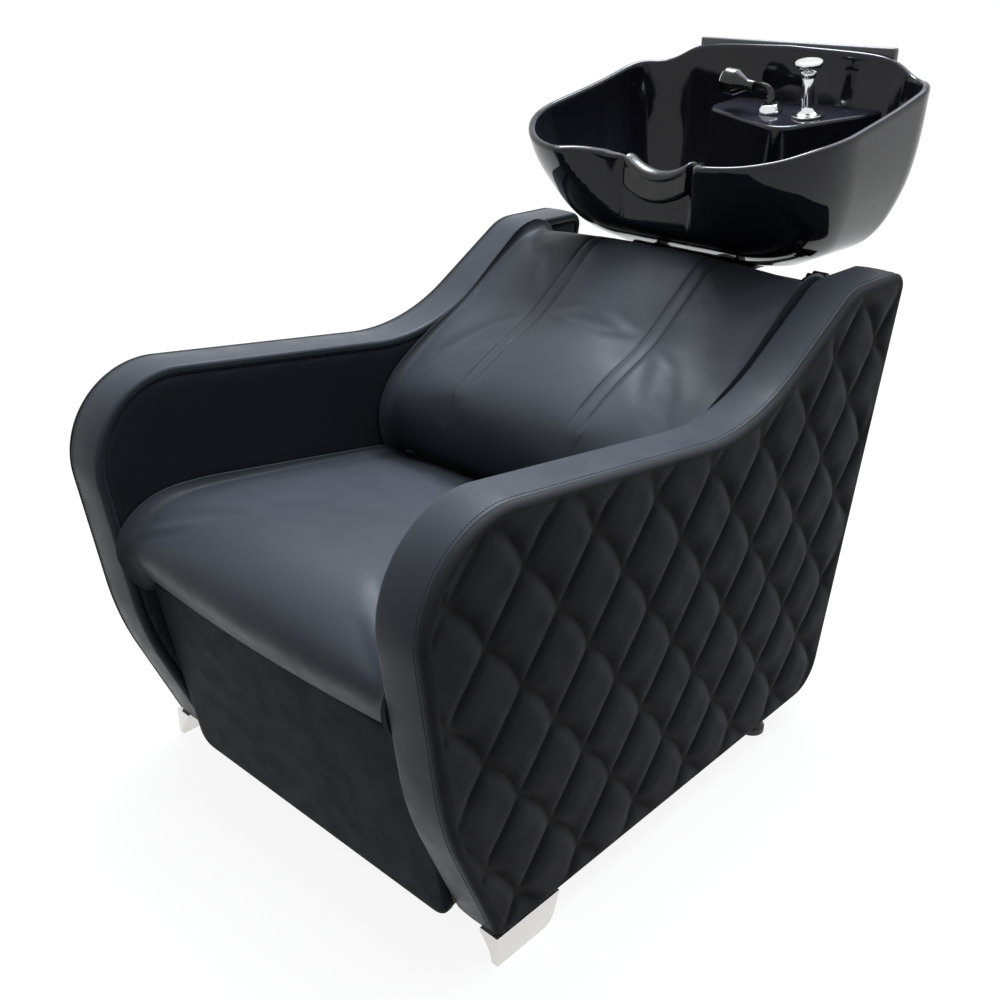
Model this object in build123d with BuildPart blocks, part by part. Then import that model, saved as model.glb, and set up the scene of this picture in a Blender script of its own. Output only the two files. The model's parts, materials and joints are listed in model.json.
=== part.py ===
from math import ceil, cos, radians, sin, sqrt, tan
import os

from build123d import *

os.makedirs("parts", exist_ok=True)

# Hair washing chair, in millimetres: +Z up, the sitter faces -Y and the basin is at +Y.
# The origin is on the floor, in the middle of the whole object's footprint.
# "Left" is the sitter's left, +X. A "distance" is measured rearwards from just behind the foremost
# points of the arms.

# Overall size
overall_width = 690
arm_length = 979
rear_overhang = 219
arm_nose = 4
overall_depth = arm_length + rear_overhang
front_y = -overall_depth / 2 + arm_nose
rear_y = overall_depth / 2

# Clearances and cutting
soft_gap = 0.5
fit_gap = 0.3
running_gap = 0.05
overrun = 20

# Arms
arm_thickness = 76
arm_height = 709
floor_gap = 45
arm_rear_lean = 10.1
band_thickness = 12
band_edge_radius = 6
quilt_pad_thickness = 14
inner_pad_thickness = 12
# Corners of an arm's outline before rounding, as shares of its length and height, and their radii:
# front foot corner, front knee, front shoulder, armrest dip and headrest shoulder
arm_corner_share = [(0.1154, 0.0635), (0.0296, 0.3526), (-0.0255, 0.904), (0.610, 0.794), (0.853, 1.0)]
arm_corner_radii = [6, 500, 124, 320, 90]
arm_rear_top_radius = 22
arm_rear_bottom_radius = 60

# Quilting of the outer pads: a lattice of rhombi with stitched grooves
quilt_half_width = 58.8
quilt_half_height = 75.2
quilt_anchor_distance = 383.6
quilt_anchor_height = 389.2
quilt_groove_half_width = 17
quilt_groove_depth = 6

# Front feet: polished corner plates
foot_set_back = 108
foot_length = 116
foot_heel_length = 15
foot_heel_radius = 22
foot_toe_radius = 3
foot_thickness = 30
foot_tip_thickness = 9
foot_side_inset = 1
foot_shelf_height = 6
foot_belly_share = 0.18

# Rear glides
glide_radius = 21
glide_pad_height = 9
glide_cone_height = 16
glide_stem_radius = 12
glide_set_back = 234

# Frame tubes
tube_size = 30
tube_wall = 2

# Seat: a tilted cushion on a board, drawn on a plane that falls towards the back
seat_front_distance = 41
seat_front_height = 350
seat_slope_angle = 7
seat_length = 480
seat_thickness = 107
seat_crown = 13
seat_front_bow = 12
seat_side_tuck = 4
seat_board_thickness = 18
seat_board_margin = 14
rail_front_margin = 56
seat_tube_share = [0.17, 0.55, 0.92]
# Front and top line of the seat cushion, as shares of its length and thickness
seat_line_share = [(-0.07, 0.5), (0.01, 0.88), (0.14, 1.0), (0.38, 0.985), (0.68, 0.945), (1, 0.90)]

# Back: a reclined cushion on a board, drawn on a plane that rises towards the back
back_foot_distance = 555
back_foot_height = 394
back_recline_angle = 36
back_length = 424
back_thickness = 140
back_crown = 32
back_side_tuck = 5
back_board_thickness = 18
back_board_top_margin = 30
back_board_bottom_margin = 12
# Lower, front and top line of the back cushion, as shares of its length and thickness
back_line_share = [
    (-0.065, 0.14),
    (-0.058, 0.53),
    (0.0, 0.85),
    (0.11, 1.0),
    (0.31, 0.946),
    (0.53, 0.80),
    (0.76, 0.77),
    (0.92, 0.69),
    (0.995, 0.40),
]
# Sewn channels of the back cushion: two pairs of stitched lines
channel_offset = 110
channel_spacing = 22
channel_width = 3
channel_depth = 4
channel_bottom_share = 0.10

# Kick panel: a padded board under the seat's front, leaning out at its top
kick_bottom_distance = 101
kick_bottom_height = 24
kick_height = 306
kick_board_drop = 4
kick_lean = 9.6
kick_pad_thickness = 14
kick_board_thickness = 15
kick_side_gap = 3
kick_corner_radius = 26
kick_edge_round = 6

# Rear panel, leaning like the arms' rear edges, and its screws
rear_panel_thickness = 16
rear_panel_inset = 6
rear_panel_rise = 14
rear_panel_bottom_height = 62
rear_panel_side_gap = 1
screw_radius = 2.5
screw_length = 24
screw_head_radius = 7
screw_head_height = 3
screw_margin = 52
screw_rows = 3
batten_size = 24

# Two top covers behind the back cushion, one each side of the support head
cover_thickness = 12
cover_lift = 5
cover_set_back = 74
cover_inner_x = 97

# Basin columns, leaning like the rear panel, on a foot tube, and the fixed support head
column_size = 40
column_wall = 2.5
column_offset = 60
column_foot_height = 65
column_drop = 65
column_gap = 8
head_plate_thickness = 6
head_half_width = 92
head_plate_depth = 56
ear_offset = 76
ear_thickness = 6
ear_radius = 15
ear_base_margin = 5

# Tilt hinge, its pin and the cradle that carries the bowl on rubber buffers
hinge_set_back = 28
hinge_drop = 25
pin_radius = 8
pin_head_radius = 13
pin_head_height = 6
pin_reach = 222
tilt_ear_gap = 1
tilt_ear_base_length = 62
cradle_half_width = 120
cradle_reach = 35
cradle_length = 162
cradle_thickness = 5
cradle_corner_radius = 18
cradle_hole_radius = 36
buffer_radius = 14
buffer_height = 4
buffer_inset = 21

# Tilt lock knob on the pin's left end
knob_side_gap = 41
knob_length = 24
knob_radius = 19
knob_lobe_radius = 7
knob_lobes = 6
knob_hub_length = 10
knob_hub_radius = 13
knob_bore_depth = 30

# Basin: a glazed ceramic bowl
ledge_depth = 15
bowl_rear_y = rear_y - ledge_depth
bowl_base_drop = 19
bowl_height = 310
bowl_half_width = 283
bowl_length = 466
bowl_wall = 12
# Sections from the base up: share of the height, then of the half width, of the length for the
# front and the rear, and of the half width for the front and rear corner radii
bowl_section_share = [
    (0.0, 0.60, 0.571, 0.142, 0.25, 0.21),
    (0.103, 0.80, 0.710, 0.077, 0.42, 0.27),
    (0.290, 0.91, 0.854, 0.034, 0.56, 0.30),
    (0.548, 0.975, 0.985, 0.0, 0.67, 0.35),
    (1.0, 1.0, 1.06, 0.0, 0.72, 0.35),
]
# Height line of the side rims, as shares of the bowl's length ahead of its rear wall and of its height
rim_line_share = [
    (1.2, 0.53),
    (0.98, 0.545),
    (0.875, 0.580),
    (0.755, 0.636),
    (0.506, 0.713),
    (0.356, 0.761),
    (0.206, 0.819),
    (0.083, 0.868),
    (0.045, 0.862),
]
# Height line of the rear rim, as shares of the bowl's half width and height
rear_rim_share = [(1.05, 0.862), (0.83, 0.862), (0.58, 0.950), (0.0, 0.974)]

# Rear ledge: a flat plate behind the rear rim
ledge_half_width = 180
ledge_height = 42
ledge_lift = 307
ledge_edge_round = 3

# Neck notch in the front wall
neck_mouth_half_width = 132
neck_half_width = 66
neck_depth_share = 0.772
neck_corner_radius = 40
neck_saddle_lift = 128
neck_saddle_rise = 27
# Height line of the scoop's lip, as shares of the bowl's length ahead of its rear wall and of its height
lip_line_share = [(1.06, 0.55), (0.96, 0.55), (0.871, 0.532), (0.80, 0.505), (0.70, 0.50)]
neck_rest_thickness = 11
neck_rest_drop = 34
neck_rest_half_width = 62

# Faucet deck inside the bowl: corners of its plan as shares of the bowl's half width and length, and
# the radii of those corners
deck_plan_share = [(-0.297, -0.02), (-0.396, 0.163), (0.254, 0.318), (0.565, 0.094), (0.671, -0.02)]
deck_corner_radii = [0, 30, 50, 30, 0]
deck_lift = 203
deck_slope = 11
deck_edge_round = 7
deck_wall = 9
access_left_x = -40
access_right_x = 106
access_front_share = 0.202
access_depth = 18

# Waste
drain_reach = 67
drain_hole_radius = 24
drain_flange_radius = 35
drain_flange_thickness = 3
drain_body_radius = 23.5
drain_body_length = 46
drain_bore_radius = 19.4
drain_nut_radius = 32
drain_nut_height = 8
tail_radius = 19
tail_wall = 1.5
tail_overlap = 16
tail_thread_radius = 19.3
tail_thread_length = 19
tail_length = 90
strainer_radius = 18.6
strainer_thickness = 2
strainer_lip_radius = 22
strainer_hole_radius = 2.2
strainer_hole_circle = 11
strainer_holes = 8

# Mixer on the deck
mixer_x = 82
mixer_set_back = 71
mixer_base_radius = 26
mixer_base_height = 4
mixer_flare_height = 16
mixer_stem_radius = 10
mixer_stem_height = 60
mixer_shank_radius = 15
mixer_shank_length = 40
nut_height = 8
mixer_nut_radius = 23
collar_radius = 12
collar_height = 8
collar_bore_flare = 3.5
lever_ball_radius = 5
lever_stem_radius = 3.5
lever_stem_height = 12
lever_cap_radius = 22
lever_cap_height = 8
supply_radius = 5
supply_length = 46
supply_spacing = 16
supply_thread_radius = 7
supply_thread_length = 14

# Hand shower and its holder on the deck
shower_x = 12
holder_radius = 20
holder_top_radius = 15
holder_height = 14
holder_shank_radius = 13
holder_shank_length = 26
holder_nut_radius = 20
shower_stem_radius = 9
shower_seat_depth = 11
shower_rise = 5
shower_bend_radius = 18
shower_bend_angle = 83
shower_reach = 26
shower_neck_length = 22
shower_head_radius = 21
shower_head_length = 22
shower_edge_round = 5
spray_radius = 16
spray_thickness = 2

# Derived places: the bowl's base below the arms' tops, the hinge below the base, the support below the
# hinge, what stands on each, and the knob beside the left arm
bowl_base_height = arm_height - bowl_base_drop
ledge_top_height = bowl_base_height + ledge_lift
neck_saddle_height = bowl_base_height + neck_saddle_lift
deck_height = bowl_base_height + deck_lift
hinge_height = bowl_base_height - hinge_drop
column_top_height = hinge_height - column_drop
cover_height = column_top_height + cover_lift
rear_panel_top_height = cover_height + rear_panel_rise
hinge_distance = arm_length - hinge_set_back
cradle_front_distance = hinge_distance - cradle_reach
drain_distance = hinge_distance + drain_reach
glide_distance = arm_length - glide_set_back
cover_front_distance = arm_length - cover_set_back
mixer_y = bowl_rear_y - mixer_set_back
arm_inner_x = overall_width / 2 - arm_thickness
cushion_half_width = arm_inner_x - soft_gap
pad_inner_x = overall_width / 2 - quilt_pad_thickness
core_inner_x = arm_inner_x + inner_pad_thickness
knob_offset = arm_inner_x - knob_side_gap - knob_length


def y_at(distance):
    """Y of a place given by its distance."""
    return front_y + distance


def arm_rear_y(height):
    """Y of the arms' leaning rear edge at a height."""
    return y_at(arm_length) - (arm_height - height) * tan(radians(arm_rear_lean))


def side_plane(y, z, lean):
    """Plane whose X runs rearwards, turned up by an angle, and whose normal is +X."""
    return Plane(origin=(0, y, z), x_dir=(0, cos(radians(lean)), sin(radians(lean))), z_dir=(1, 0, 0))


def upright_plane(x, y, z=0):
    """Plane that faces -Y, for profiles turned about a vertical axis."""
    return Plane(origin=(x, y, z), x_dir=(1, 0, 0), z_dir=(0, -1, 0))


def save(piece, name):
    """Labels a finished piece and writes it."""
    piece.part.label = name
    export_step(piece.part, "parts/" + name + ".step")


def arm_face(inset):
    """Outline of an arm, its Y and Z as the sketch's X and Y, drawn in by an inset."""
    corners = [(y_at(y * arm_length), z * arm_height) for y, z in arm_corner_share]
    corners.append((arm_rear_y(arm_height), arm_height))
    corners.append((arm_rear_y(floor_gap), floor_gap))
    radii = arm_corner_radii + [arm_rear_top_radius, arm_rear_bottom_radius]
    with BuildSketch() as outline:
        with BuildLine():
            FilletPolyline(*corners, radius=radii, close=True)
        make_face()
        if inset > 0:
            offset(amount=-inset, kind=Kind.INTERSECTION, mode=Mode.REPLACE)
    return outline.sketch


def crown_share(x):
    """How far a place across the seat is from its middle, squared: 0 in the middle, 1 at the sides."""
    return (x / cushion_half_width) ** 2


def seat_face(x):
    """Side section of the seat cushion at a place across it."""
    top = 1 - crown_share(x) * seat_crown / seat_thickness
    front = crown_share(x) * seat_front_bow
    line = [(front, 0)]
    for length_share, thickness_share in seat_line_share[:-1]:
        line.append((length_share * seat_length + front, thickness_share * seat_thickness * top))
    line.append((seat_length, seat_line_share[-1][1] * seat_thickness * top))
    with BuildSketch() as section:
        with BuildLine():
            top_line = Spline(line)
            Polyline(top_line @ 1, (seat_length, 0), top_line @ 0)
        make_face()
    return section.sketch


def back_face(x, sunk=0):
    """Side section of the back cushion at a place across it, its front sunk by a depth."""
    crown = 1 - crown_share(x) * back_crown / back_thickness
    line = [(u * back_length, v * back_thickness * crown - sunk) for u, v in back_line_share]
    with BuildSketch() as section:
        with BuildLine():
            front_line = Spline(line)
            Polyline(front_line @ 1, (back_length, 0), (0, 0), front_line @ 0)
        make_face()
    return section.sketch


def box_tube(plane, length):
    """Square tube along a plane's normal, from the plane on."""
    with BuildPart() as tube:
        with BuildSketch(plane):
            Rectangle(tube_size, tube_size)
            Rectangle(tube_size - 2 * tube_wall, tube_size - 2 * tube_wall, mode=Mode.SUBTRACT)
        extrude(amount=length)
    return tube


# Arms
for side, hand in ((1, "left"), (-1, "right")):
    with BuildPart() as arm_core:
        with BuildSketch(Plane.YZ.offset(side * core_inner_x)):
            add(arm_face(band_thickness))
        extrude(amount=side * (pad_inner_x - core_inner_x))
    save(arm_core, hand + "_arm_core")

    with BuildPart() as arm_band:
        with BuildSketch(Plane.YZ.offset(side * arm_inner_x)):
            add(arm_face(0))
        extrude(amount=side * arm_thickness)
        fillet(arm_band.faces().filter_by(Plane.YZ).edges(), band_edge_radius)
        with BuildSketch(Plane.YZ.offset(side * arm_inner_x)):
            add(arm_face(band_thickness))
        extrude(amount=side * arm_thickness, mode=Mode.SUBTRACT)
    save(arm_band, hand + "_arm_band")

    with BuildPart() as inner_pad:
        with BuildSketch(Plane.YZ.offset(side * arm_inner_x)):
            add(arm_face(band_thickness))
        extrude(amount=side * inner_pad_thickness)
    save(inner_pad, hand + "_inner_pad")

    with BuildPart() as quilted_pad:
        with BuildSketch(Plane.YZ.offset(side * pad_inner_x)):
            add(arm_face(band_thickness))
        extrude(amount=side * quilt_pad_thickness)
        slant = quilt_half_width / quilt_half_height
        groove_flare = quilt_groove_half_width * (1 + overrun / quilt_groove_depth)
        groove_count = ceil((arm_length + arm_height * slant) / (2 * quilt_half_width))
        for lean in (1, -1):
            for index in range(-groove_count, groove_count + 1):
                anchor_y = y_at(quilt_anchor_distance + 2 * index * quilt_half_width)
                ends = [anchor_y + lean * slant * (z - quilt_anchor_height) for z in (floor_gap, arm_height)]
                if max(ends) < front_y or min(ends) > y_at(arm_length):
                    continue
                groove_plane = Plane(
                    origin=(side * overall_width / 2, anchor_y, quilt_anchor_height),
                    x_dir=(side, 0, 0),
                    z_dir=(0, lean * quilt_half_width, quilt_half_height),
                )
                with BuildSketch(groove_plane):
                    with BuildLine():
                        Polyline(
                            (-quilt_groove_depth, 0),
                            (overrun, -groove_flare),
                            (overrun, groove_flare),
                            close=True,
                        )
                    make_face()
                extrude(amount=arm_length, both=True, mode=Mode.SUBTRACT)
    save(quilted_pad, hand + "_quilted_pad")

    # Front foot: a side plate under the arm's front corner, its inner face curving out to the floor
    foot_outer_x = side * (overall_width / 2 - foot_side_inset)
    foot_front_y = y_at(foot_set_back)
    with BuildPart() as front_foot:
        with BuildSketch(Plane.YZ.offset(foot_outer_x)):
            with BuildLine():
                FilletPolyline(
                    (foot_front_y, 0),
                    (foot_front_y + foot_length - foot_heel_length, 0),
                    (foot_front_y + foot_length, floor_gap),
                    (foot_front_y, floor_gap),
                    radius=[foot_toe_radius, foot_heel_radius, 0, 0],
                    close=True,
                )
            make_face()
        extrude(amount=-side * foot_thickness)
        with BuildSketch(upright_plane(foot_outer_x, foot_front_y)):
            with BuildLine():
                tip = (-side * foot_tip_thickness, 0)
                shelf = (-side * foot_thickness, floor_gap - foot_shelf_height)
                middle = (-side * (foot_tip_thickness + foot_belly_share * foot_thickness), shelf[1] / 2)
                outside = -side * (foot_thickness + overrun)
                ThreePointArc(tip, middle, shelf)
                Polyline(shelf, (outside, shelf[1]), (outside, -overrun), (tip[0], -overrun), tip)
            make_face()
        extrude(amount=-(foot_length + overrun), mode=Mode.SUBTRACT)
    save(front_foot, hand + "_front_foot")

    # Rear glide
    glide_x = side * (arm_inner_x + arm_thickness / 2)
    glide_y = y_at(glide_distance)
    with BuildPart() as rear_glide:
        with BuildSketch(upright_plane(glide_x, glide_y)):
            with BuildLine():
                Polyline(
                    (0, 0),
                    (glide_radius, 0),
                    (glide_radius, glide_pad_height),
                    (glide_stem_radius, glide_cone_height),
                    (glide_stem_radius, floor_gap),
                    (0, floor_gap),
                    close=True,
                )
            make_face()
        revolve(axis=Axis((glide_x, glide_y, 0), (0, 0, 1)))
    save(rear_glide, hand + "_rear_glide")

# Seat
seat_y = y_at(seat_front_distance)
seat_plane = side_plane(seat_y, seat_front_height, -seat_slope_angle)
section_places = [share * cushion_half_width for share in (-1, -0.6, 0, 0.6, 1)]
with BuildPart() as seat_cushion:
    for x in section_places:
        with BuildSketch(seat_plane.offset(x)):
            add(seat_face(x))
    loft()
    for side in (1, -1):
        with BuildSketch(Plane(origin=(0, seat_y, seat_front_height - seat_thickness))):
            with BuildLine():
                front_corner = (side * cushion_half_width, 0)
                rear_corner = (side * cushion_half_width, seat_length)
                waist = (side * (cushion_half_width - seat_side_tuck), seat_length / 2)
                tuck = ThreePointArc(front_corner, waist, rear_corner)
                outside = side * (cushion_half_width + overrun)
                Polyline(rear_corner, (outside, seat_length), (outside, 0), front_corner)
            make_face()
        extrude(amount=3 * seat_thickness, mode=Mode.SUBTRACT)
save(seat_cushion, "seat_cushion")

with BuildPart() as seat_board:
    with BuildSketch(seat_plane.offset(-arm_inner_x + fit_gap)):
        with Locations((seat_length / 2, -seat_board_thickness / 2)):
            Rectangle(seat_length - 2 * seat_board_margin, seat_board_thickness)
    extrude(amount=2 * (arm_inner_x - fit_gap))
save(seat_board, "seat_board")

# Frame: two seat rails and three cross tubes under the seat board
rail_drop = seat_board_thickness + tube_size / 2
rail_start = seat_plane.from_local_coords((rail_front_margin, -rail_drop, 0))
rail_length = seat_length - rail_front_margin - seat_board_margin
for side, hand in ((1, "left"), (-1, "right")):
    rail_x = side * (arm_inner_x - tube_size / 2)
    rail_plane = Plane(origin=(rail_x, rail_start.Y, rail_start.Z), x_dir=(1, 0, 0), z_dir=seat_plane.x_dir)
    seat_rail = box_tube(rail_plane, rail_length)
    save(seat_rail, hand + "_seat_rail")

for share, place in zip(seat_tube_share, ("front", "middle", "rear")):
    start = seat_plane.from_local_coords((share * seat_length, -rail_drop, 0))
    tube_half_length = arm_inner_x - tube_size
    tube_plane = Plane(
        origin=(-tube_half_length, start.Y, start.Z), x_dir=seat_plane.x_dir, z_dir=(1, 0, 0)
    )
    cross_tube = box_tube(tube_plane, 2 * tube_half_length)
    save(cross_tube, place + "_cross_tube")

# Back
back_y = y_at(back_foot_distance)
back_plane = side_plane(back_y, back_foot_height, back_recline_angle)
with BuildPart() as back_cushion:
    for x in section_places:
        with BuildSketch(back_plane.offset(x)):
            add(back_face(x))
    loft()
    for side in (1, -1):
        for row in (-0.5, 0.5):
            x = side * (channel_offset + row * channel_spacing)
            with BuildSketch(back_plane.offset(x - channel_width / 2)):
                with Locations(((channel_bottom_share + 1) / 2 * back_length, back_thickness)):
                    Rectangle((1 - channel_bottom_share) * back_length, 2 * back_thickness)
                add(back_face(x, channel_depth), mode=Mode.SUBTRACT)
            extrude(amount=channel_width, mode=Mode.SUBTRACT)
        with BuildSketch(Plane(origin=back_plane.origin, x_dir=(1, 0, 0), z_dir=back_plane.y_dir)):
            with BuildLine():
                low_corner = (side * cushion_half_width, -back_thickness)
                high_corner = (side * cushion_half_width, back_length)
                waist = (side * (cushion_half_width - back_side_tuck), back_length / 2)
                tuck = ThreePointArc(low_corner, waist, high_corner)
                outside = side * (cushion_half_width + overrun)
                Polyline(high_corner, (outside, back_length), (outside, -back_thickness), low_corner)
            make_face()
        extrude(amount=2 * back_thickness, both=True, mode=Mode.SUBTRACT)
save(back_cushion, "back_cushion")

with BuildPart() as back_board:
    board_length = back_length - back_board_top_margin - back_board_bottom_margin
    with BuildSketch(back_plane.offset(-arm_inner_x + fit_gap)):
        with Locations((back_board_bottom_margin + board_length / 2, -back_board_thickness / 2)):
            Rectangle(board_length, back_board_thickness)
    extrude(amount=2 * (arm_inner_x - fit_gap))
save(back_board, "back_board")

# Kick panel
kick_plane = Plane(
    origin=(0, y_at(kick_bottom_distance), kick_bottom_height),
    x_dir=(1, 0, 0),
    z_dir=(0, -cos(radians(kick_lean)), -sin(radians(kick_lean))),
)
with BuildPart() as kick_pad:
    half = arm_inner_x - kick_side_gap
    with BuildSketch(kick_plane.offset(-kick_pad_thickness)):
        with BuildLine():
            FilletPolyline(
                (-half, 0),
                (half, 0),
                (half, kick_height),
                (-half, kick_height),
                radius=[kick_corner_radius, kick_corner_radius, 0, 0],
                close=True,
            )
        make_face()
    extrude(amount=kick_pad_thickness)
    kick_axis = Axis(kick_plane.origin, kick_plane.z_dir)
    fillet(kick_pad.faces().sort_by(kick_axis)[-1].edges(), kick_edge_round)
save(kick_pad, "kick_pad")

with BuildPart() as kick_board:
    half = arm_inner_x - fit_gap
    with BuildSketch(kick_plane.offset(-kick_pad_thickness - kick_board_thickness)):
        with BuildLine():
            FilletPolyline(
                (-half, kick_edge_round),
                (half, kick_edge_round),
                (half, kick_height - kick_board_drop),
                (-half, kick_height - kick_board_drop),
                radius=[kick_corner_radius, kick_corner_radius, 0, 0],
                close=True,
            )
        make_face()
    extrude(amount=kick_board_thickness)
save(kick_board, "kick_board")

# Rear panel with its battens and screws
rear_tilt = radians(arm_rear_lean)
rear_plane = Plane(
    origin=(0, arm_rear_y(rear_panel_bottom_height) - rear_panel_inset, rear_panel_bottom_height),
    x_dir=(-1, 0, 0),
    z_dir=(0, cos(rear_tilt), -sin(rear_tilt)),
)
rear_height = (rear_panel_top_height - rear_panel_bottom_height) / cos(rear_tilt)
rear_half_width = arm_inner_x - rear_panel_side_gap
screw_x = arm_inner_x - batten_size / 2
screw_row_pitch = (rear_height - 2 * screw_margin) / (screw_rows - 1)
screw_places = [
    (side * screw_x, screw_margin + row * screw_row_pitch) for side in (-1, 1) for row in range(screw_rows)
]
with BuildPart() as rear_panel:
    with BuildSketch(rear_plane.offset(-rear_panel_thickness)):
        with Locations((0, rear_height / 2)):
            Rectangle(2 * rear_half_width, rear_height)
        with Locations(*screw_places):
            Circle(screw_radius + fit_gap, mode=Mode.SUBTRACT)
    extrude(amount=rear_panel_thickness)
save(rear_panel, "rear_panel")

with BuildPart() as rear_battens:
    batten_start = (column_foot_height + tube_size - rear_panel_bottom_height) / cos(rear_tilt)
    with BuildSketch(rear_plane.offset(-rear_panel_thickness - batten_size)):
        for side in (-1, 1):
            with Locations((side * screw_x, (batten_start + rear_height) / 2)):
                Rectangle(batten_size, rear_height - batten_start)
        with Locations(*screw_places):
            Circle(screw_radius, mode=Mode.SUBTRACT)
    extrude(amount=batten_size)
save(rear_battens, "rear_battens")

with BuildPart() as rear_screws:
    with BuildSketch(rear_plane):
        with Locations(*screw_places):
            Circle(screw_head_radius)
    extrude(amount=screw_head_height)
    screw_tops = rear_screws.faces().sort_by(Axis(rear_plane.origin, rear_plane.z_dir))[-len(screw_places) :]
    fillet(screw_tops.edges(), screw_head_height / 2)
    with BuildSketch(rear_plane.offset(-rear_panel_thickness - screw_length)):
        with Locations(*screw_places):
            Circle(screw_radius - running_gap)
    extrude(amount=rear_panel_thickness + screw_length)
save(rear_screws, "rear_screws")

# Top covers
cover_rear_y = arm_rear_y(cover_height) - rear_panel_inset - rear_panel_thickness / cos(rear_tilt) - fit_gap
batten_front_y = cover_rear_y - batten_size / cos(rear_tilt) - fit_gap
for side, hand in ((1, "left"), (-1, "right")):
    with BuildPart() as top_cover:
        with BuildSketch(Plane.XY.offset(cover_height)):
            with BuildLine():
                Polyline(
                    (side * cover_inner_x, y_at(cover_front_distance)),
                    (side * cushion_half_width, y_at(cover_front_distance)),
                    (side * cushion_half_width, batten_front_y),
                    (side * (arm_inner_x - batten_size - fit_gap), batten_front_y),
                    (side * (arm_inner_x - batten_size - fit_gap), cover_rear_y),
                    (side * cover_inner_x, cover_rear_y),
                    close=True,
                )
            make_face()
        extrude(amount=cover_thickness)
    save(top_cover, hand + "_top_cover")

# Basin columns on their foot tube
column_lean = Vector(0, sin(rear_tilt), cos(rear_tilt))
column_back = rear_panel_inset + column_gap + (rear_panel_thickness + column_size / 2) / cos(rear_tilt)
foot_tube_z = column_foot_height + tube_size / 2
foot_tube_y = arm_rear_y(foot_tube_z) - column_back
foot_tube_plane = Plane(origin=(-arm_inner_x, foot_tube_y, foot_tube_z), x_dir=(0, 1, 0), z_dir=(1, 0, 0))
column_foot_tube = box_tube(foot_tube_plane, 2 * arm_inner_x)
save(column_foot_tube, "column_foot_tube")

column_base = column_foot_height + tube_size
column_rise = column_top_height - column_base
for side, hand in ((1, "left"), (-1, "right")):
    column_place = (side * column_offset, arm_rear_y(column_base) - column_back)
    with BuildPart() as basin_column:
        with BuildSketch(Plane.XY.offset(column_base)):
            with Locations(column_place):
                Rectangle(column_size, column_size)
                Rectangle(column_size - 2 * column_wall, column_size - 2 * column_wall, mode=Mode.SUBTRACT)
        extrude(amount=column_rise / cos(rear_tilt), dir=column_lean)
    save(basin_column, hand + "_basin_column")

# Support head: a plate on the columns with an ear at each end for the hinge pin
hinge_y = y_at(hinge_distance)
head_y = arm_rear_y(column_top_height) - column_back
ear_foot_z = column_top_height + head_plate_thickness
with BuildPart() as support_head:
    with BuildSketch(Plane.XY.offset(column_top_height)):
        with Locations((0, head_y)):
            Rectangle(2 * head_half_width, head_plate_depth)
    extrude(amount=head_plate_thickness)
    for side in (1, -1):
        with BuildSketch(Plane.YZ.offset(side * ear_offset)):
            with BuildLine():
                Polyline(
                    (head_y - head_plate_depth / 2 + ear_base_margin, ear_foot_z),
                    (head_y + head_plate_depth / 2 - ear_base_margin, ear_foot_z),
                    (hinge_y + ear_radius * sin(rear_tilt), hinge_height - ear_radius * cos(rear_tilt)),
                    (hinge_y - ear_radius, hinge_height),
                    close=True,
                )
            make_face()
            with Locations((hinge_y, hinge_height)):
                Circle(ear_radius)
                Circle(pin_radius + running_gap, mode=Mode.SUBTRACT)
        extrude(amount=side * ear_thickness)
save(support_head, "support_head")

with BuildPart() as hinge_pin:
    with BuildSketch(Plane.YZ.offset(-ear_offset - ear_thickness)):
        with Locations((hinge_y, hinge_height)):
            Circle(pin_radius)
    extrude(amount=ear_offset + ear_thickness + pin_reach)
    with BuildSketch(Plane.YZ.offset(-ear_offset - ear_thickness)):
        with Locations((hinge_y, hinge_height)):
            Circle(pin_head_radius)
    extrude(amount=-pin_head_height)
save(hinge_pin, "hinge_pin")

# Tilt lock knob: a lobed hand nut on the end of the pin
with BuildPart() as tilt_lock_knob:
    with BuildSketch(Plane.YZ.offset(knob_offset)):
        with Locations((hinge_y, hinge_height)):
            Circle(knob_radius)
            with PolarLocations(knob_radius, knob_lobes):
                Circle(knob_lobe_radius)
    extrude(amount=knob_length)
    with BuildSketch(Plane.YZ.offset(knob_offset - knob_hub_length)):
        with Locations((hinge_y, hinge_height)):
            Circle(knob_hub_radius)
    extrude(amount=knob_hub_length)
    with BuildSketch(Plane.YZ.offset(knob_offset - knob_hub_length)):
        with Locations((hinge_y, hinge_height)):
            Circle(pin_radius + running_gap)
    extrude(amount=knob_bore_depth, mode=Mode.SUBTRACT)
save(tilt_lock_knob, "tilt_lock_knob")

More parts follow.
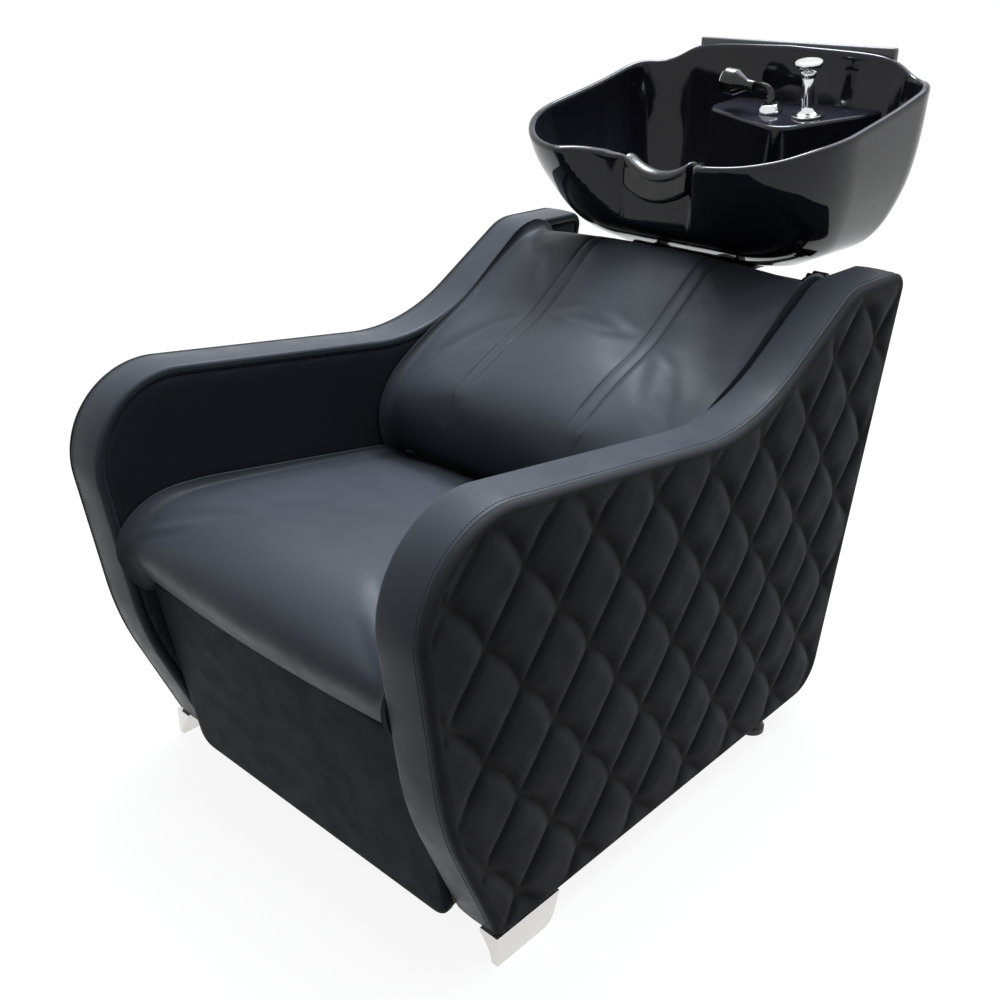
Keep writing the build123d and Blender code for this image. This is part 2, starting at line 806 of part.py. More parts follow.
# Tilt cradle: a plate under the bowl with two ears between the fixed ears
cradle_y = y_at(cradle_front_distance) + cradle_length / 2
drain_y = y_at(drain_distance)
cradle_top = bowl_base_height - buffer_height
tilt_ear_x = ear_offset - tilt_ear_gap
with BuildPart() as tilt_cradle:
    with BuildSketch(Plane.XY.offset(cradle_top - cradle_thickness)):
        with Locations((0, cradle_y)):
            RectangleRounded(2 * cradle_half_width, cradle_length, cradle_corner_radius)
        with Locations((0, drain_y)):
            Circle(cradle_hole_radius, mode=Mode.SUBTRACT)
    extrude(amount=cradle_thickness)
    for side in (1, -1):
        with BuildSketch(Plane.YZ.offset(side * tilt_ear_x)):
            with BuildLine():
                Polyline(
                    (hinge_y - tilt_ear_base_length / 2, cradle_top - cradle_thickness),
                    (hinge_y - ear_radius, hinge_height),
                    (hinge_y + ear_radius, hinge_height),
                    (hinge_y + tilt_ear_base_length / 2, cradle_top - cradle_thickness),
                    close=True,
                )
            make_face()
            with Locations((hinge_y, hinge_height)):
                Circle(ear_radius - fit_gap)
            with Locations((hinge_y, cradle_top + ear_radius)):
                Rectangle(tilt_ear_base_length, 2 * ear_radius, mode=Mode.SUBTRACT)
            with Locations((hinge_y, hinge_height)):
                Circle(pin_radius + running_gap, mode=Mode.SUBTRACT)
        extrude(amount=-side * ear_thickness)
save(tilt_cradle, "tilt_cradle")

buffer_x = cradle_half_width - buffer_inset
with BuildPart() as rubber_buffers:
    with BuildSketch(Plane.XY.offset(cradle_top)):
        with Locations((0, cradle_y)):
            with GridLocations(2 * buffer_x, cradle_length - 2 * buffer_inset, 2, 2):
                Circle(buffer_radius)
    extrude(amount=buffer_height)
save(rubber_buffers, "rubber_buffers")

# Basin
bowl_front_y = bowl_rear_y - bowl_length
neck_y = bowl_rear_y - neck_depth_share * bowl_length


def bowl_section(share, inset):
    """One level section of the bowl from its row of shares, drawn in by an inset."""
    height, width, front, rear, front_radius, rear_radius = share
    half = width * bowl_half_width - inset
    front_line = bowl_rear_y - front * bowl_length + inset
    rear_line = bowl_rear_y - rear * bowl_length - inset
    with BuildSketch() as section:
        with BuildLine():
            FilletPolyline(
                (-half, front_line),
                (half, front_line),
                (half, rear_line),
                (-half, rear_line),
                radius=[
                    front_radius * bowl_half_width - inset,
                    front_radius * bowl_half_width - inset,
                    rear_radius * bowl_half_width - inset,
                    rear_radius * bowl_half_width - inset,
                ],
                close=True,
            )
        make_face()
    return section.sketch


def neck_face(grow):
    """Plan of the neck's scoop into the bowl's front, grown by an amount."""
    mouth_y = bowl_front_y - grow
    with BuildSketch() as scoop:
        with BuildLine():
            FilletPolyline(
                (-neck_mouth_half_width - grow, mouth_y),
                (-neck_half_width - grow, neck_y + grow),
                (neck_half_width + grow, neck_y + grow),
                (neck_mouth_half_width + grow, mouth_y),
                radius=[0, neck_corner_radius + grow, neck_corner_radius + grow, 0],
                close=True,
            )
        make_face()
        with Locations((0, mouth_y - overrun)):
            Rectangle(2 * (neck_mouth_half_width + grow), 2 * overrun)
    return scoop.sketch


def deck_face(inset):
    """Plan of the faucet deck, a rounded promontory from the bowl's rear wall, drawn in."""
    corners = [(x * bowl_half_width, bowl_rear_y - y * bowl_length) for x, y in deck_plan_share]
    with BuildSketch() as plan:
        with BuildLine():
            FilletPolyline(*corners, radius=deck_corner_radii, close=True)
        make_face()
        if inset:
            offset(amount=-inset, kind=Kind.INTERSECTION, mode=Mode.REPLACE)
    return plan.sketch


deck_normal = Vector(0, -sin(radians(deck_slope)), cos(radians(deck_slope)))
deck_plane = Plane(origin=(0, mixer_y, deck_height), x_dir=(1, 0, 0), z_dir=deck_normal)


def tap_plane(x):
    """Plane through a tap's axis on the deck: its X is +X and its Y stands square to the deck."""
    return Plane(origin=deck_plane.from_local_coords((x, 0, 0)), x_dir=(1, 0, 0), z_dir=-deck_plane.y_dir)


with BuildPart() as bowl_space:
    for share in bowl_section_share:
        lift = bowl_wall if share[0] == 0 else 0
        with BuildSketch(Plane.XY.offset(bowl_base_height + share[0] * bowl_height + lift)):
            add(bowl_section(share, bowl_wall))
    loft()
    with BuildSketch(Plane.XY.offset(bowl_base_height)):
        add(neck_face(bowl_wall))
    extrude(amount=bowl_height + overrun, mode=Mode.SUBTRACT)

with BuildPart() as deck_block:
    with BuildSketch(Plane.XY.offset(bowl_base_height)):
        add(deck_face(0))
    extrude(amount=bowl_height)
    split(bisect_by=deck_plane, keep=Keep.BOTTOM)
    fillet(deck_block.faces().sort_by(Axis(deck_plane.origin, deck_normal))[-1].edges(), deck_edge_round)

with BuildPart() as deck_hollow:
    with BuildSketch(Plane.XY.offset(bowl_base_height)):
        add(deck_face(deck_wall))
    extrude(amount=bowl_height)
    split(bisect_by=deck_plane.offset(-deck_wall), keep=Keep.BOTTOM)

with BuildPart() as faucet_deck:
    add(bowl_space.part & deck_block.part)
    add(deck_hollow.part, mode=Mode.SUBTRACT)
    with BuildSketch(deck_plane.offset(overrun)):
        with Locations((mixer_x, 0)):
            Circle(mixer_shank_radius + fit_gap)
        with Locations((shower_x, 0)):
            Circle(holder_shank_radius + fit_gap)
    extrude(amount=-2 * overrun, mode=Mode.SUBTRACT)
save(faucet_deck, "faucet_deck")

with BuildPart() as basin:
    for share in bowl_section_share:
        with BuildSketch(Plane.XY.offset(bowl_base_height + share[0] * bowl_height)):
            add(bowl_section(share, 0))
    loft()
    # Flat back for the ledge
    with BuildSketch(Plane.XY.offset(bowl_base_height - overrun)):
        with Locations((0, bowl_rear_y + overrun / 2)):
            Rectangle(2 * (bowl_half_width + overrun), overrun)
    extrude(amount=bowl_height + 2 * overrun, mode=Mode.SUBTRACT)
    # Neck scoop, bowl space and the slot that leads under the deck
    with BuildSketch(Plane.XY.offset(bowl_base_height - overrun)):
        add(neck_face(0))
    extrude(amount=bowl_height + 2 * overrun, mode=Mode.SUBTRACT)
    add(bowl_space.part, mode=Mode.SUBTRACT)
    access_y = bowl_rear_y - access_front_share * bowl_length + access_depth / 2
    with BuildSketch(Plane.XY.offset(bowl_base_height - overrun)):
        with Locations(((access_left_x + access_right_x) / 2, access_y)):
            Rectangle(access_right_x - access_left_x, access_depth)
    extrude(amount=2 * overrun, mode=Mode.SUBTRACT)
    # Wavy rim: the sides follow one height line, the rear wall another
    with BuildSketch(Plane.YZ):
        with BuildLine():
            points = [
                (bowl_rear_y - y * bowl_length, bowl_base_height + z * bowl_height) for y, z in rim_line_share
            ]
            rim_line = Spline(points)
            roof = bowl_base_height + bowl_height + overrun
            Polyline(rim_line @ 1, (points[-1][0], roof), (points[0][0], roof), rim_line @ 0)
        make_face()
    extrude(amount=bowl_half_width + overrun, both=True, mode=Mode.SUBTRACT)
    with BuildSketch(Plane.XZ.offset(-points[-1][0])):
        with BuildLine():
            right = [(x * bowl_half_width, bowl_base_height + z * bowl_height) for x, z in rear_rim_share]
            left = [(-x, z) for x, z in reversed(right[:-1])]
            rear_line = Spline(right + left)
            Polyline(rear_line @ 1, (left[-1][0], roof), (right[0][0], roof), rear_line @ 0)
        make_face()
    extrude(amount=-bowl_length, mode=Mode.SUBTRACT)
    # The scoop's lip runs down from its mouth to the saddle
    with BuildSketch(Plane.XY.offset(bowl_base_height)):
        add(neck_face(bowl_wall))
    lip_block = extrude(amount=bowl_height + overrun, mode=Mode.PRIVATE)
    with BuildSketch(Plane.YZ):
        with BuildLine():
            points = [
                (bowl_rear_y - y * bowl_length, bowl_base_height + z * bowl_height) for y, z in lip_line_share
            ]
            lip_line = Spline(points)
            Polyline(lip_line @ 1, (points[-1][0], roof), (points[0][0], roof), lip_line @ 0)
        make_face()
    lip_space = extrude(amount=bowl_half_width, both=True, mode=Mode.PRIVATE)
    add(lip_block & lip_space, mode=Mode.SUBTRACT)
    # Saddle for the neck
    with BuildSketch(Plane.XZ.offset(-(neck_y - neck_corner_radius))):
        with BuildLine():
            saddle_left = (-neck_half_width, neck_saddle_height + neck_saddle_rise)
            saddle_right = (neck_half_width, neck_saddle_height + neck_saddle_rise)
            ThreePointArc(saddle_left, (0, neck_saddle_height), saddle_right)
            Polyline(saddle_right, (neck_half_width, roof), (-neck_half_width, roof), saddle_left)
        make_face()
    extrude(amount=-(neck_corner_radius + bowl_wall + overrun), mode=Mode.SUBTRACT)
    # Drain hole
    with BuildSketch(Plane.XY.offset(bowl_base_height - overrun)):
        with Locations((0, drain_y)):
            Circle(drain_hole_radius)
    extrude(amount=2 * overrun, mode=Mode.SUBTRACT)

# The casting's floor is a node of its own, so that its holes stay open in collision
floor_top = bowl_base_height + bowl_wall
with BuildPart() as basin_floor:
    add(basin.part)
    split(bisect_by=Plane.XY.offset(floor_top), keep=Keep.BOTTOM)
save(basin_floor, "basin_floor")

with BuildPart() as basin_wall:
    add(basin.part)
    split(bisect_by=Plane.XY.offset(floor_top), keep=Keep.TOP)
save(basin_wall, "basin")

# Rear ledge
with BuildPart() as rear_ledge:
    with BuildSketch(Plane.XY.offset(ledge_top_height - ledge_height)):
        with Locations((0, bowl_rear_y + ledge_depth / 2)):
            Rectangle(2 * ledge_half_width, ledge_depth)
    extrude(amount=ledge_height)
    fillet(rear_ledge.faces().sort_by(Axis.Z)[-1].edges(), ledge_edge_round)
save(rear_ledge, "rear_ledge")

# Neck rest: a gel saddle clipped over the front wall
rest_grow = fit_gap + neck_rest_thickness
with BuildPart() as wall_slot:
    with BuildSketch(Plane.XY.offset(bowl_base_height)):
        add(neck_face(bowl_wall + fit_gap))
        add(neck_face(-fit_gap), mode=Mode.SUBTRACT)
    extrude(amount=bowl_height)
    with BuildSketch(Plane.XZ.offset(-bowl_front_y)):
        with BuildLine():
            side_z = neck_saddle_height + neck_saddle_rise + fit_gap
            under = ThreePointArc(
                (-neck_half_width, side_z), (0, neck_saddle_height + fit_gap), (neck_half_width, side_z)
            )
            Polyline(
                under @ 1,
                (neck_half_width, bowl_base_height),
                (-neck_half_width, bowl_base_height),
                under @ 0,
            )
        make_face()
    extrude(amount=-bowl_length, mode=Mode.INTERSECT)

rest_rise = neck_saddle_rise * (neck_rest_half_width / neck_half_width) ** 2
with BuildPart() as neck_rest:
    with BuildSketch(Plane.XY.offset(bowl_base_height)):
        add(neck_face(bowl_wall + rest_grow))
        add(neck_face(-rest_grow), mode=Mode.SUBTRACT)
    extrude(amount=bowl_height)
    with BuildSketch(Plane.XZ.offset(-bowl_front_y)):
        with BuildLine():
            top_z = neck_saddle_height + rest_grow
            low_z = neck_saddle_height - neck_rest_drop
            left_x = -neck_rest_half_width
            right_x = neck_rest_half_width
            top_arc = ThreePointArc((left_x, top_z + rest_rise), (0, top_z), (right_x, top_z + rest_rise))
            low_arc = ThreePointArc((right_x, low_z + rest_rise), (0, low_z), (left_x, low_z + rest_rise))
            Line(top_arc @ 1, low_arc @ 0)
            Line(low_arc @ 1, top_arc @ 0)
        make_face()
    extrude(amount=-bowl_length, mode=Mode.INTERSECT)
    add(wall_slot.part, mode=Mode.SUBTRACT)
save(neck_rest, "neck_rest")

# Waste: flange and body through the floor, nut under it, lift-out strainer and tailpiece
drain_axis = Axis((0, drain_y, 0), (0, 0, 1))
with BuildPart() as drain_body:
    with BuildSketch(upright_plane(0, drain_y, floor_top)):
        with BuildLine():
            lip_top = drain_flange_thickness
            Polyline(
                (strainer_radius + fit_gap, lip_top),
                (drain_flange_radius, 0),
                (drain_body_radius, 0),
                (drain_body_radius, -drain_body_length),
                (drain_bore_radius, -drain_body_length),
                (drain_bore_radius, -drain_flange_thickness),
                (strainer_radius + fit_gap, -drain_flange_thickness),
                close=True,
            )
        make_face()
    revolve(axis=drain_axis)
save(drain_body, "drain_body")

with BuildPart() as drain_nut:
    with BuildSketch(Plane.XY.offset(bowl_base_height - drain_nut_height)):
        with Locations((0, drain_y)):
            RegularPolygon(drain_nut_radius, 6)
            Circle(drain_body_radius + running_gap, mode=Mode.SUBTRACT)
    extrude(amount=drain_nut_height)
save(drain_nut, "drain_nut")

tail_top = floor_top - drain_body_length + tail_overlap
with BuildPart() as tailpiece:
    with BuildSketch(Plane.XY.offset(tail_top - tail_length)):
        with Locations((0, drain_y)):
            Circle(tail_radius)
    extrude(amount=tail_length)
    # Top that screws into the waste, modelled without its thread
    with BuildSketch(Plane.XY.offset(tail_top - tail_thread_length)):
        with Locations((0, drain_y)):
            Circle(tail_thread_radius)
    extrude(amount=tail_thread_length)
    with BuildSketch(Plane.XY.offset(tail_top - tail_length)):
        with Locations((0, drain_y)):
            Circle(tail_radius - tail_wall)
    extrude(amount=tail_length, mode=Mode.SUBTRACT)
save(tailpiece, "tailpiece")

with BuildPart() as strainer:
    with BuildSketch(upright_plane(0, drain_y, floor_top + drain_flange_thickness)):
        with BuildLine():
            Polyline(
                (0, -strainer_thickness),
                (strainer_radius, -strainer_thickness),
                (strainer_radius, fit_gap),
                (strainer_lip_radius, fit_gap),
                (strainer_lip_radius, fit_gap + strainer_thickness),
                (strainer_radius - strainer_thickness, fit_gap + strainer_thickness),
                (strainer_radius - strainer_thickness, 0),
                (0, 0),
                close=True,
            )
        make_face()
    revolve(axis=drain_axis)
    with BuildSketch(Plane.XY.offset(floor_top)):
        with Locations((0, drain_y)):
            Circle(strainer_hole_radius)
            with PolarLocations(strainer_hole_circle, strainer_holes):
                Circle(strainer_hole_radius)
    extrude(amount=overrun, mode=Mode.SUBTRACT)
save(strainer, "strainer")

# Mixer: base and stem on the deck, shank and nut under it, collar that turns, lever that lifts
mixer_plane = tap_plane(mixer_x)
mixer_axis = Axis(mixer_plane.origin, deck_normal)
collar_base = mixer_stem_height + fit_gap
ball_height = collar_base + lever_ball_radius
with BuildPart() as mixer_body:
    with BuildSketch(mixer_plane):
        with BuildLine():
            base_edge = (mixer_base_radius, mixer_base_height)
            stem_foot = (mixer_stem_radius, mixer_flare_height + mixer_base_height)
            waist = (mixer_stem_radius + mixer_flare_height / 4, mixer_base_height + mixer_flare_height / 4)
            ThreePointArc(base_edge, waist, stem_foot)
            Polyline(
                stem_foot,
                (mixer_stem_radius, mixer_stem_height),
                (0, mixer_stem_height),
                (0, -mixer_shank_length),
                (mixer_shank_radius, -mixer_shank_length),
                (mixer_shank_radius, 0),
                (mixer_base_radius, 0),
                base_edge,
            )
        make_face()
    revolve(axis=mixer_axis)
save(mixer_body, "mixer_body")

with BuildPart() as mixer_nut:
    with BuildSketch(deck_plane.offset(-deck_wall - nut_height)):
        with Locations((mixer_x, 0)):
            RegularPolygon(mixer_nut_radius, 6)
            Circle(mixer_shank_radius + running_gap, mode=Mode.SUBTRACT)
    extrude(amount=nut_height)
save(mixer_nut, "mixer_nut")

with BuildPart() as mixer_collar:
    with BuildSketch(mixer_plane):
        with BuildLine():
            Polyline(
                (lever_ball_radius + fit_gap, collar_base),
                (collar_radius, collar_base),
                (collar_radius, collar_base + collar_height),
                (lever_ball_radius + collar_bore_flare, collar_base + collar_height),
                (lever_ball_radius + fit_gap, ball_height),
                close=True,
            )
        make_face()
    revolve(axis=mixer_axis)
save(mixer_collar, "mixer_collar")

with BuildPart() as mixer_lever:
    with BuildSketch(mixer_plane):
        with BuildLine():
            cap_low = ball_height + lever_stem_height
            stem_low = ball_height + sqrt(lever_ball_radius**2 - lever_stem_radius**2)
            ball_bottom = (0, ball_height - lever_ball_radius)
            ball_side = (lever_ball_radius, ball_height)
            ThreePointArc(ball_bottom, ball_side, (lever_stem_radius, stem_low))
            Polyline(
                (lever_stem_radius, stem_low),
                (lever_stem_radius, cap_low),
                (lever_cap_radius, cap_low),
                (lever_cap_radius, cap_low + lever_cap_height / 2),
            )
            Spline(
                (lever_cap_radius, cap_low + lever_cap_height / 2),
                (0, cap_low + lever_cap_height),
                tangents=[(0, 1), (-1, 0)],
            )
            Line((0, cap_low + lever_cap_height), ball_bottom)
        make_face()
    revolve(axis=mixer_axis)
save(mixer_lever, "mixer_lever")

with BuildPart() as supply_tails:
    tail_places = [(mixer_x - supply_spacing / 2, 0), (mixer_x + supply_spacing / 2, 0)]
    with BuildSketch(deck_plane.offset(-mixer_shank_length)):
        with Locations(*tail_places):
            Circle(supply_radius)
    extrude(amount=-supply_length)
    with BuildSketch(deck_plane.offset(-mixer_shank_length - supply_length)):
        with Locations(*tail_places):
            Circle(supply_thread_radius)
    extrude(amount=-supply_thread_length)
save(supply_tails, "supply_tails")

# Hand shower in its holder
shower_plane = tap_plane(shower_x)
shower_axis = Axis(shower_plane.origin, deck_normal)
with BuildPart() as shower_holder:
    with BuildSketch(shower_plane):
        with BuildLine():
            Polyline(
                (0, -holder_shank_length),
                (holder_shank_radius, -holder_shank_length),
                (holder_shank_radius, 0),
                (holder_radius, 0),
                (holder_radius, mixer_base_height),
                (holder_top_radius, holder_height),
                (shower_stem_radius + fit_gap, holder_height),
                (shower_stem_radius + fit_gap, holder_height - shower_seat_depth),
                (0, holder_height - shower_seat_depth),
                close=True,
            )
        make_face()
    revolve(axis=shower_axis)
save(shower_holder, "shower_holder")

with BuildPart() as holder_nut:
    with BuildSketch(deck_plane.offset(-deck_wall - nut_height)):
        with Locations((shower_x, 0)):
            RegularPolygon(holder_nut_radius, 6)
            Circle(holder_shank_radius + running_gap, mode=Mode.SUBTRACT)
    extrude(amount=nut_height)
save(holder_nut, "holder_nut")

seat_z = holder_height - shower_seat_depth + fit_gap
bend_z = holder_height + shower_rise
bend = radians(shower_bend_angle)
neck_start = (
    -shower_bend_radius * (1 - cos(bend)),
    bend_z + shower_bend_radius * sin(bend),
)
reach_dir = (-sin(bend), cos(bend))
neck_end = (neck_start[0] + shower_reach * reach_dir[0], neck_start[1] + shower_reach * reach_dir[1])
with BuildPart() as hand_shower:
    with BuildLine(shower_plane):
        stem_line = Line((0, seat_z), (0, bend_z))
        bend_line = TangentArc((0, bend_z), neck_start, tangent=(0, 1))
        reach_line = Line(neck_start, neck_end)
    with BuildSketch(Plane(origin=stem_line @ 0, z_dir=deck_normal)):
        Circle(shower_stem_radius)
    sweep()
    head_plane = Plane(origin=reach_line @ 1, x_dir=reach_line % 1, z_dir=shower_plane.z_dir)
    head_end = shower_neck_length + shower_head_length
    with BuildSketch(head_plane):
        with BuildLine():
            FilletPolyline(
                (-shower_reach / 2, 0),
                (-shower_reach / 2, shower_stem_radius),
                (0, shower_stem_radius),
                (shower_neck_length, shower_head_radius),
                (head_end, shower_head_radius),
                (head_end, 0),
                radius=[0, 0, shower_edge_round, shower_edge_round, shower_edge_round, 0],
                close=True,
            )
        make_face()
    revolve(axis=Axis(head_plane.origin, head_plane.x_dir))
save(hand_shower, "hand_shower")

with BuildPart() as spray_face:
    with BuildSketch(Plane(origin=head_plane.from_local_coords((head_end, 0, 0)), z_dir=head_plane.x_dir)):
        Circle(spray_radius)
    extrude(amount=spray_thickness)
save(spray_face, "spray_face")
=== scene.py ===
"""Hair washing chair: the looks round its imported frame."""
import json
from math import cos, pi, radians, sin, sqrt, tan

import bmesh
import bpy
import numpy as np
from bpy.props import FloatProperty, FloatVectorProperty, PointerProperty
from bpy.types import Operator, Panel, PropertyGroup
from mathutils import Matrix, Vector


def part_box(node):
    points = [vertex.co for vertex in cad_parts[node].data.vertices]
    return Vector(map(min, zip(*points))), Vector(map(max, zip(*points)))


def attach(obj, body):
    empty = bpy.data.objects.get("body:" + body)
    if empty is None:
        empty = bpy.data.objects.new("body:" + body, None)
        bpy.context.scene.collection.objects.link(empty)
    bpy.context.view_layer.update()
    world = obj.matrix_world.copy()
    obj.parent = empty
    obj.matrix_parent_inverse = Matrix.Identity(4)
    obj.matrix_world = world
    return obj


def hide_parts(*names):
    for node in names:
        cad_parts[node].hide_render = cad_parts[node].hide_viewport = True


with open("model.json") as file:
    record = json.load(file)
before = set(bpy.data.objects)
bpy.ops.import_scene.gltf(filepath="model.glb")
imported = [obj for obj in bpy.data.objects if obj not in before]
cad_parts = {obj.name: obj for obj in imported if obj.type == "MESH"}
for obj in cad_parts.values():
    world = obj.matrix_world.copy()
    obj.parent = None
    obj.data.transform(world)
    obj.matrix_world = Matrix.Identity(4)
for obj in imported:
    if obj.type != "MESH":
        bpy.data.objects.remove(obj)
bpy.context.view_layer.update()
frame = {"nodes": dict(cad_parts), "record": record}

bl_info = {
    "name": "Hair Washing Chair",
    "version": (1, 0, 0),
    "blender": (4, 5, 0),
    "location": "View3D > Sidebar > Wash Chair",
    "description": "Dresses the hair washing chair: leather, quilting, glazed basin and chrome",
    "category": "Object",
}

MM = 0.001


def span(node, axis):
    """Ends of a CAD piece along an axis, in millimetres."""
    low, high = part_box(node)
    return round(low[axis] / MM, 2), round(high[axis] / MM, 2)


# Arm outline: corners as shares of the arm's length and height, and the radius at each and at the two
# rear ones, which the lean places
ARM_INNER, ARM_OUTER = span("left_arm_band", 0)
ARM_GAP, ARM_HEIGHT = span("left_arm_band", 2)
ARM_FRONT = -595
ARM_LENGTH = 979
ARM_LEAN = radians(10.1)
ARM_CORNERS = [(0.1154, 0.0635), (0.0296, 0.3526), (-0.0255, 0.904), (0.610, 0.794), (0.853, 1.0)]
ARM_RADII = [6, 500, 124, 320, 90, 22, 60]
LEAST_RADIUS = 0.4

# Band round an arm: thickness, roll of its inner edge, crown, its seam with the quilting, that edge's
# profile as (inwards, down), and where its two rows of thread run
BAND = 12
BAND_ROLL = 6
BAND_CROWN = 1.4
SEAM_X = ARM_OUTER - 10
SEAM_EDGE = [(3, 0), (1.6, 0.25), (0.7, 0.9), (0.1, 2.2), (0, 5)]
SEAM_TO_THREAD = 5.5
INNER_THREAD_DROP = 8.5

# Quilting: half width and half height of a diamond, the middle of one of them, the distance between
# grooves, the bow of one set of them, half a groove's flat bottom, the slope beside it, how far the whole
# face swells, and the pitch of its grid
QUILT_HALF_WIDTH = 58.8
QUILT_HALF_HEIGHT = 75.2
QUILT_MIDDLE = (-211.4, 389.2)
QUILT_CELL = 92.6
QUILT_BOW = 0.085
QUILT_GROOVE = 1.5
QUILT_SLOPE = 33
QUILT_SWELL = 1.5
QUILT_PITCH = 3.4

# Seat and back: half width and radius of the rolled sides, then for each its side plane's start and tilt,
# its size, how far its top falls at the sides, its outline in shares of its size, and how much smaller its
# cover starts. The seat's front also bows
CUSHION_HALF = span("seat_cushion", 0)[1]
CUSHION_EDGE = 22
SEAT_START = (-554, 350)
SEAT_TILT = radians(-7)
SEAT_LENGTH = 480
SEAT_THICK = 107
SEAT_CROWN = 13
SEAT_BOW = 12
SEAT_LINE = [(0.004, -0.2), (-0.045, 0.12), (-0.07, 0.5), (0.01, 0.88), (0.14, 1.0), (0.38, 0.985),
             (0.68, 0.945), (1, 0.90)]
SEAT_SLIM = 2.5
BACK_START = (-40, 394)
BACK_TILT = radians(36)
BACK_LENGTH = 424
BACK_THICK = 140
BACK_CROWN = 32
BACK_LINE = [(0, 0), (-0.065, 0.14), (-0.058, 0.53), (0, 0.85), (0.11, 1), (0.31, 0.946), (0.53, 0.80),
             (0.76, 0.79), (0.92, 0.76), (1.0, 0.52), (1, 0)]
BACK_SLIM = 3

# Where a cover is held while it swells, near its base, its sides and its seams, and how the cloth is set
HELD_SEAT = 22
HELD_BACK = 14
HELD_SIDE = 262
HELD_FADE = 5
HELD_SEAM = 0.9
COVER = {
    "use_pressure": True, "uniform_pressure_force": 4.0, "tension_stiffness": 25,
    "compression_stiffness": 25, "shear_stiffness": 10, "bending_stiffness": 2,
}
COVER_FRAMES = 20

# Sewn channels of the back: place, half width, depth and width of a groove, distance from it to its
# thread, and where a channel starts and ends along the back
CHANNEL_X = 110
CHANNEL_HALF = 11
CHANNEL_DROP = 3
CHANNEL_WIDTH = 1.7
CHANNEL_TO_THREAD = 2.6
CHANNEL_LOW = 0.08 * BACK_LENGTH
CHANNEL_HIGH = 0.985 * BACK_LENGTH

# Kick panel
KICK_START = (-494, 24)
KICK_LEAN = radians(9.6)
KICK_HEIGHT = 306
KICK_HALF = span("kick_pad", 0)[1]
KICK_THICK = 14
KICK_EDGE = 6
KICK_RADII = [26, 26, 6.5, 6.5]

# Basin: each section is its height, half width, front and rear from the rear wall, and corner radii, in
# shares of the bowl's height, half width and length
BOWL_REAR = span("basin", 1)[1]
BOWL_BASE, BOWL_FLOOR = span("basin_floor", 2)
BOWL_WALL = BOWL_FLOOR - BOWL_BASE
BOWL_LENGTH = 466
BOWL_HEIGHT = 310
BOWL_HALF = 283
BOWL_SECTIONS = [
    (0.0, 0.60, 0.571, 0.142, 0.25, 0.21),
    (0.103, 0.80, 0.710, 0.077, 0.42, 0.27),
    (0.290, 0.91, 0.854, 0.034, 0.56, 0.30),
    (0.548, 0.975, 0.985, 0.0, 0.67, 0.35),
    (1.0, 1.0, 1.06, 0.0, 0.72, 0.35),
]

# Points on each straight and arc round the bowl, rows up each wall, and the height from which the rim is
# looked for
BOWL_MARKS = (64, 44, 26, 26, 60, 26, 26, 44)
BOWL_STEPS = 44
RIM_GUESS = 880

# Rim: rise of its rounded top, where the sides' line ends, and (place, height) pairs in shares of the bowl
# along its sides, across its rear and at the neck's lip, which ends over a short way
RIM_SWELL = 1.15
RIM_END = 0.045
RIM_LINE = [(1.2, 0.53), (0.98, 0.545), (0.875, 0.580), (0.755, 0.636), (0.506, 0.713), (0.356, 0.761),
            (0.206, 0.819), (0.083, 0.868), (0.045, 0.862), (-0.1, 0.85)]
REAR_RIM = [(0.0, 0.974), (0.58, 0.950), (0.83, 0.862), (1.05, 0.862)]
LIP_REACH = 34
LIP_FADE = 10
LIP_LINE = [(1.06, 0.55), (0.96, 0.55), (0.871, 0.532), (0.80, 0.505), (0.70, 0.50)]

# Neck notch, drain, and two corners of the box that the hose's slot takes out
NECK_Y = 224.2
NECK_HALF = 66
NECK_MOUTH = 132
SADDLE_Z = 818
SADDLE_RISE = 27
DRAIN_Y = sum(span("strainer", 1)) / 2
DRAIN_R = 24
DRAIN_STEPS = 14
HOSE_SLOT = [(-40, 490, 684), (106, 508, 722)]

# Neck rest: half length, half thickness and rise of its roll, how far its skirt hangs down outside and,
# as a share of that, inside, how much the skirt bows, and where along a half the roll starts to thin
REST_HALF = span("neck_rest", 0)[1]
REST_THICK = 17
REST_RISE = 11.5
REST_SKIRT = 34
REST_INNER = 0.8
REST_BOW = 2.0
REST_TAPER = 0.84

# Leather: scales of its pebbles and creases. Thread on the quilting: half width, stitches and filled part
# of each stitch, in shares of a diamond, and how fast and how far the painted shade in the grooves darkens
# the cover
PEBBLE_SCALE = 620
CREASE_SCALE = 240
THREAD_HALF = 0.007
THREAD_BEATS = 26
THREAD_FILLED = 0.76
GROOVE_SHADE_FADE = -7.5
GROOVE_SHADE = 0.12

# Broken edges of the hardware, in millimetres
BROKEN_EDGES = {
    "left_front_foot": 1.2, "right_front_foot": 1.2, "mixer_body": 0.8, "mixer_collar": 0.6,
    "mixer_lever": 0.8, "shower_holder": 0.8, "hand_shower": 0.6, "spray_face": 0.5, "rear_ledge": 1.5,
    "tilt_lock_knob": 1.5, "strainer": 0.4,
}
DECK_EDGE = 0.8

# Camera, lights and floor, with places in metres
CAMERA_PLACE = (1.0405, -1.2501, 1.1167)
CAMERA_YAW = radians(42.59)
CAMERA_PITCH = radians(25.15)
CAMERA_ROLL = radians(0.73)
CAMERA_LENS = 41.53
CAMERA_SENSOR = 36
SUN_WAY = (0.12, -0.34, -1)
SUN_SPREAD = radians(62)
WINDOW_PLACE = (-0.5, 0.95, 2.4)
WINDOW_AIM = (0.1, -0.1, 0.5)
WINDOW_SIZE = 0.7
LIGHT_COLOUR = (0.94, 1.0, 1.07)
FLOOR_GREYS = (0.13, 0.14)
FLOOR_GLOW = 0.90


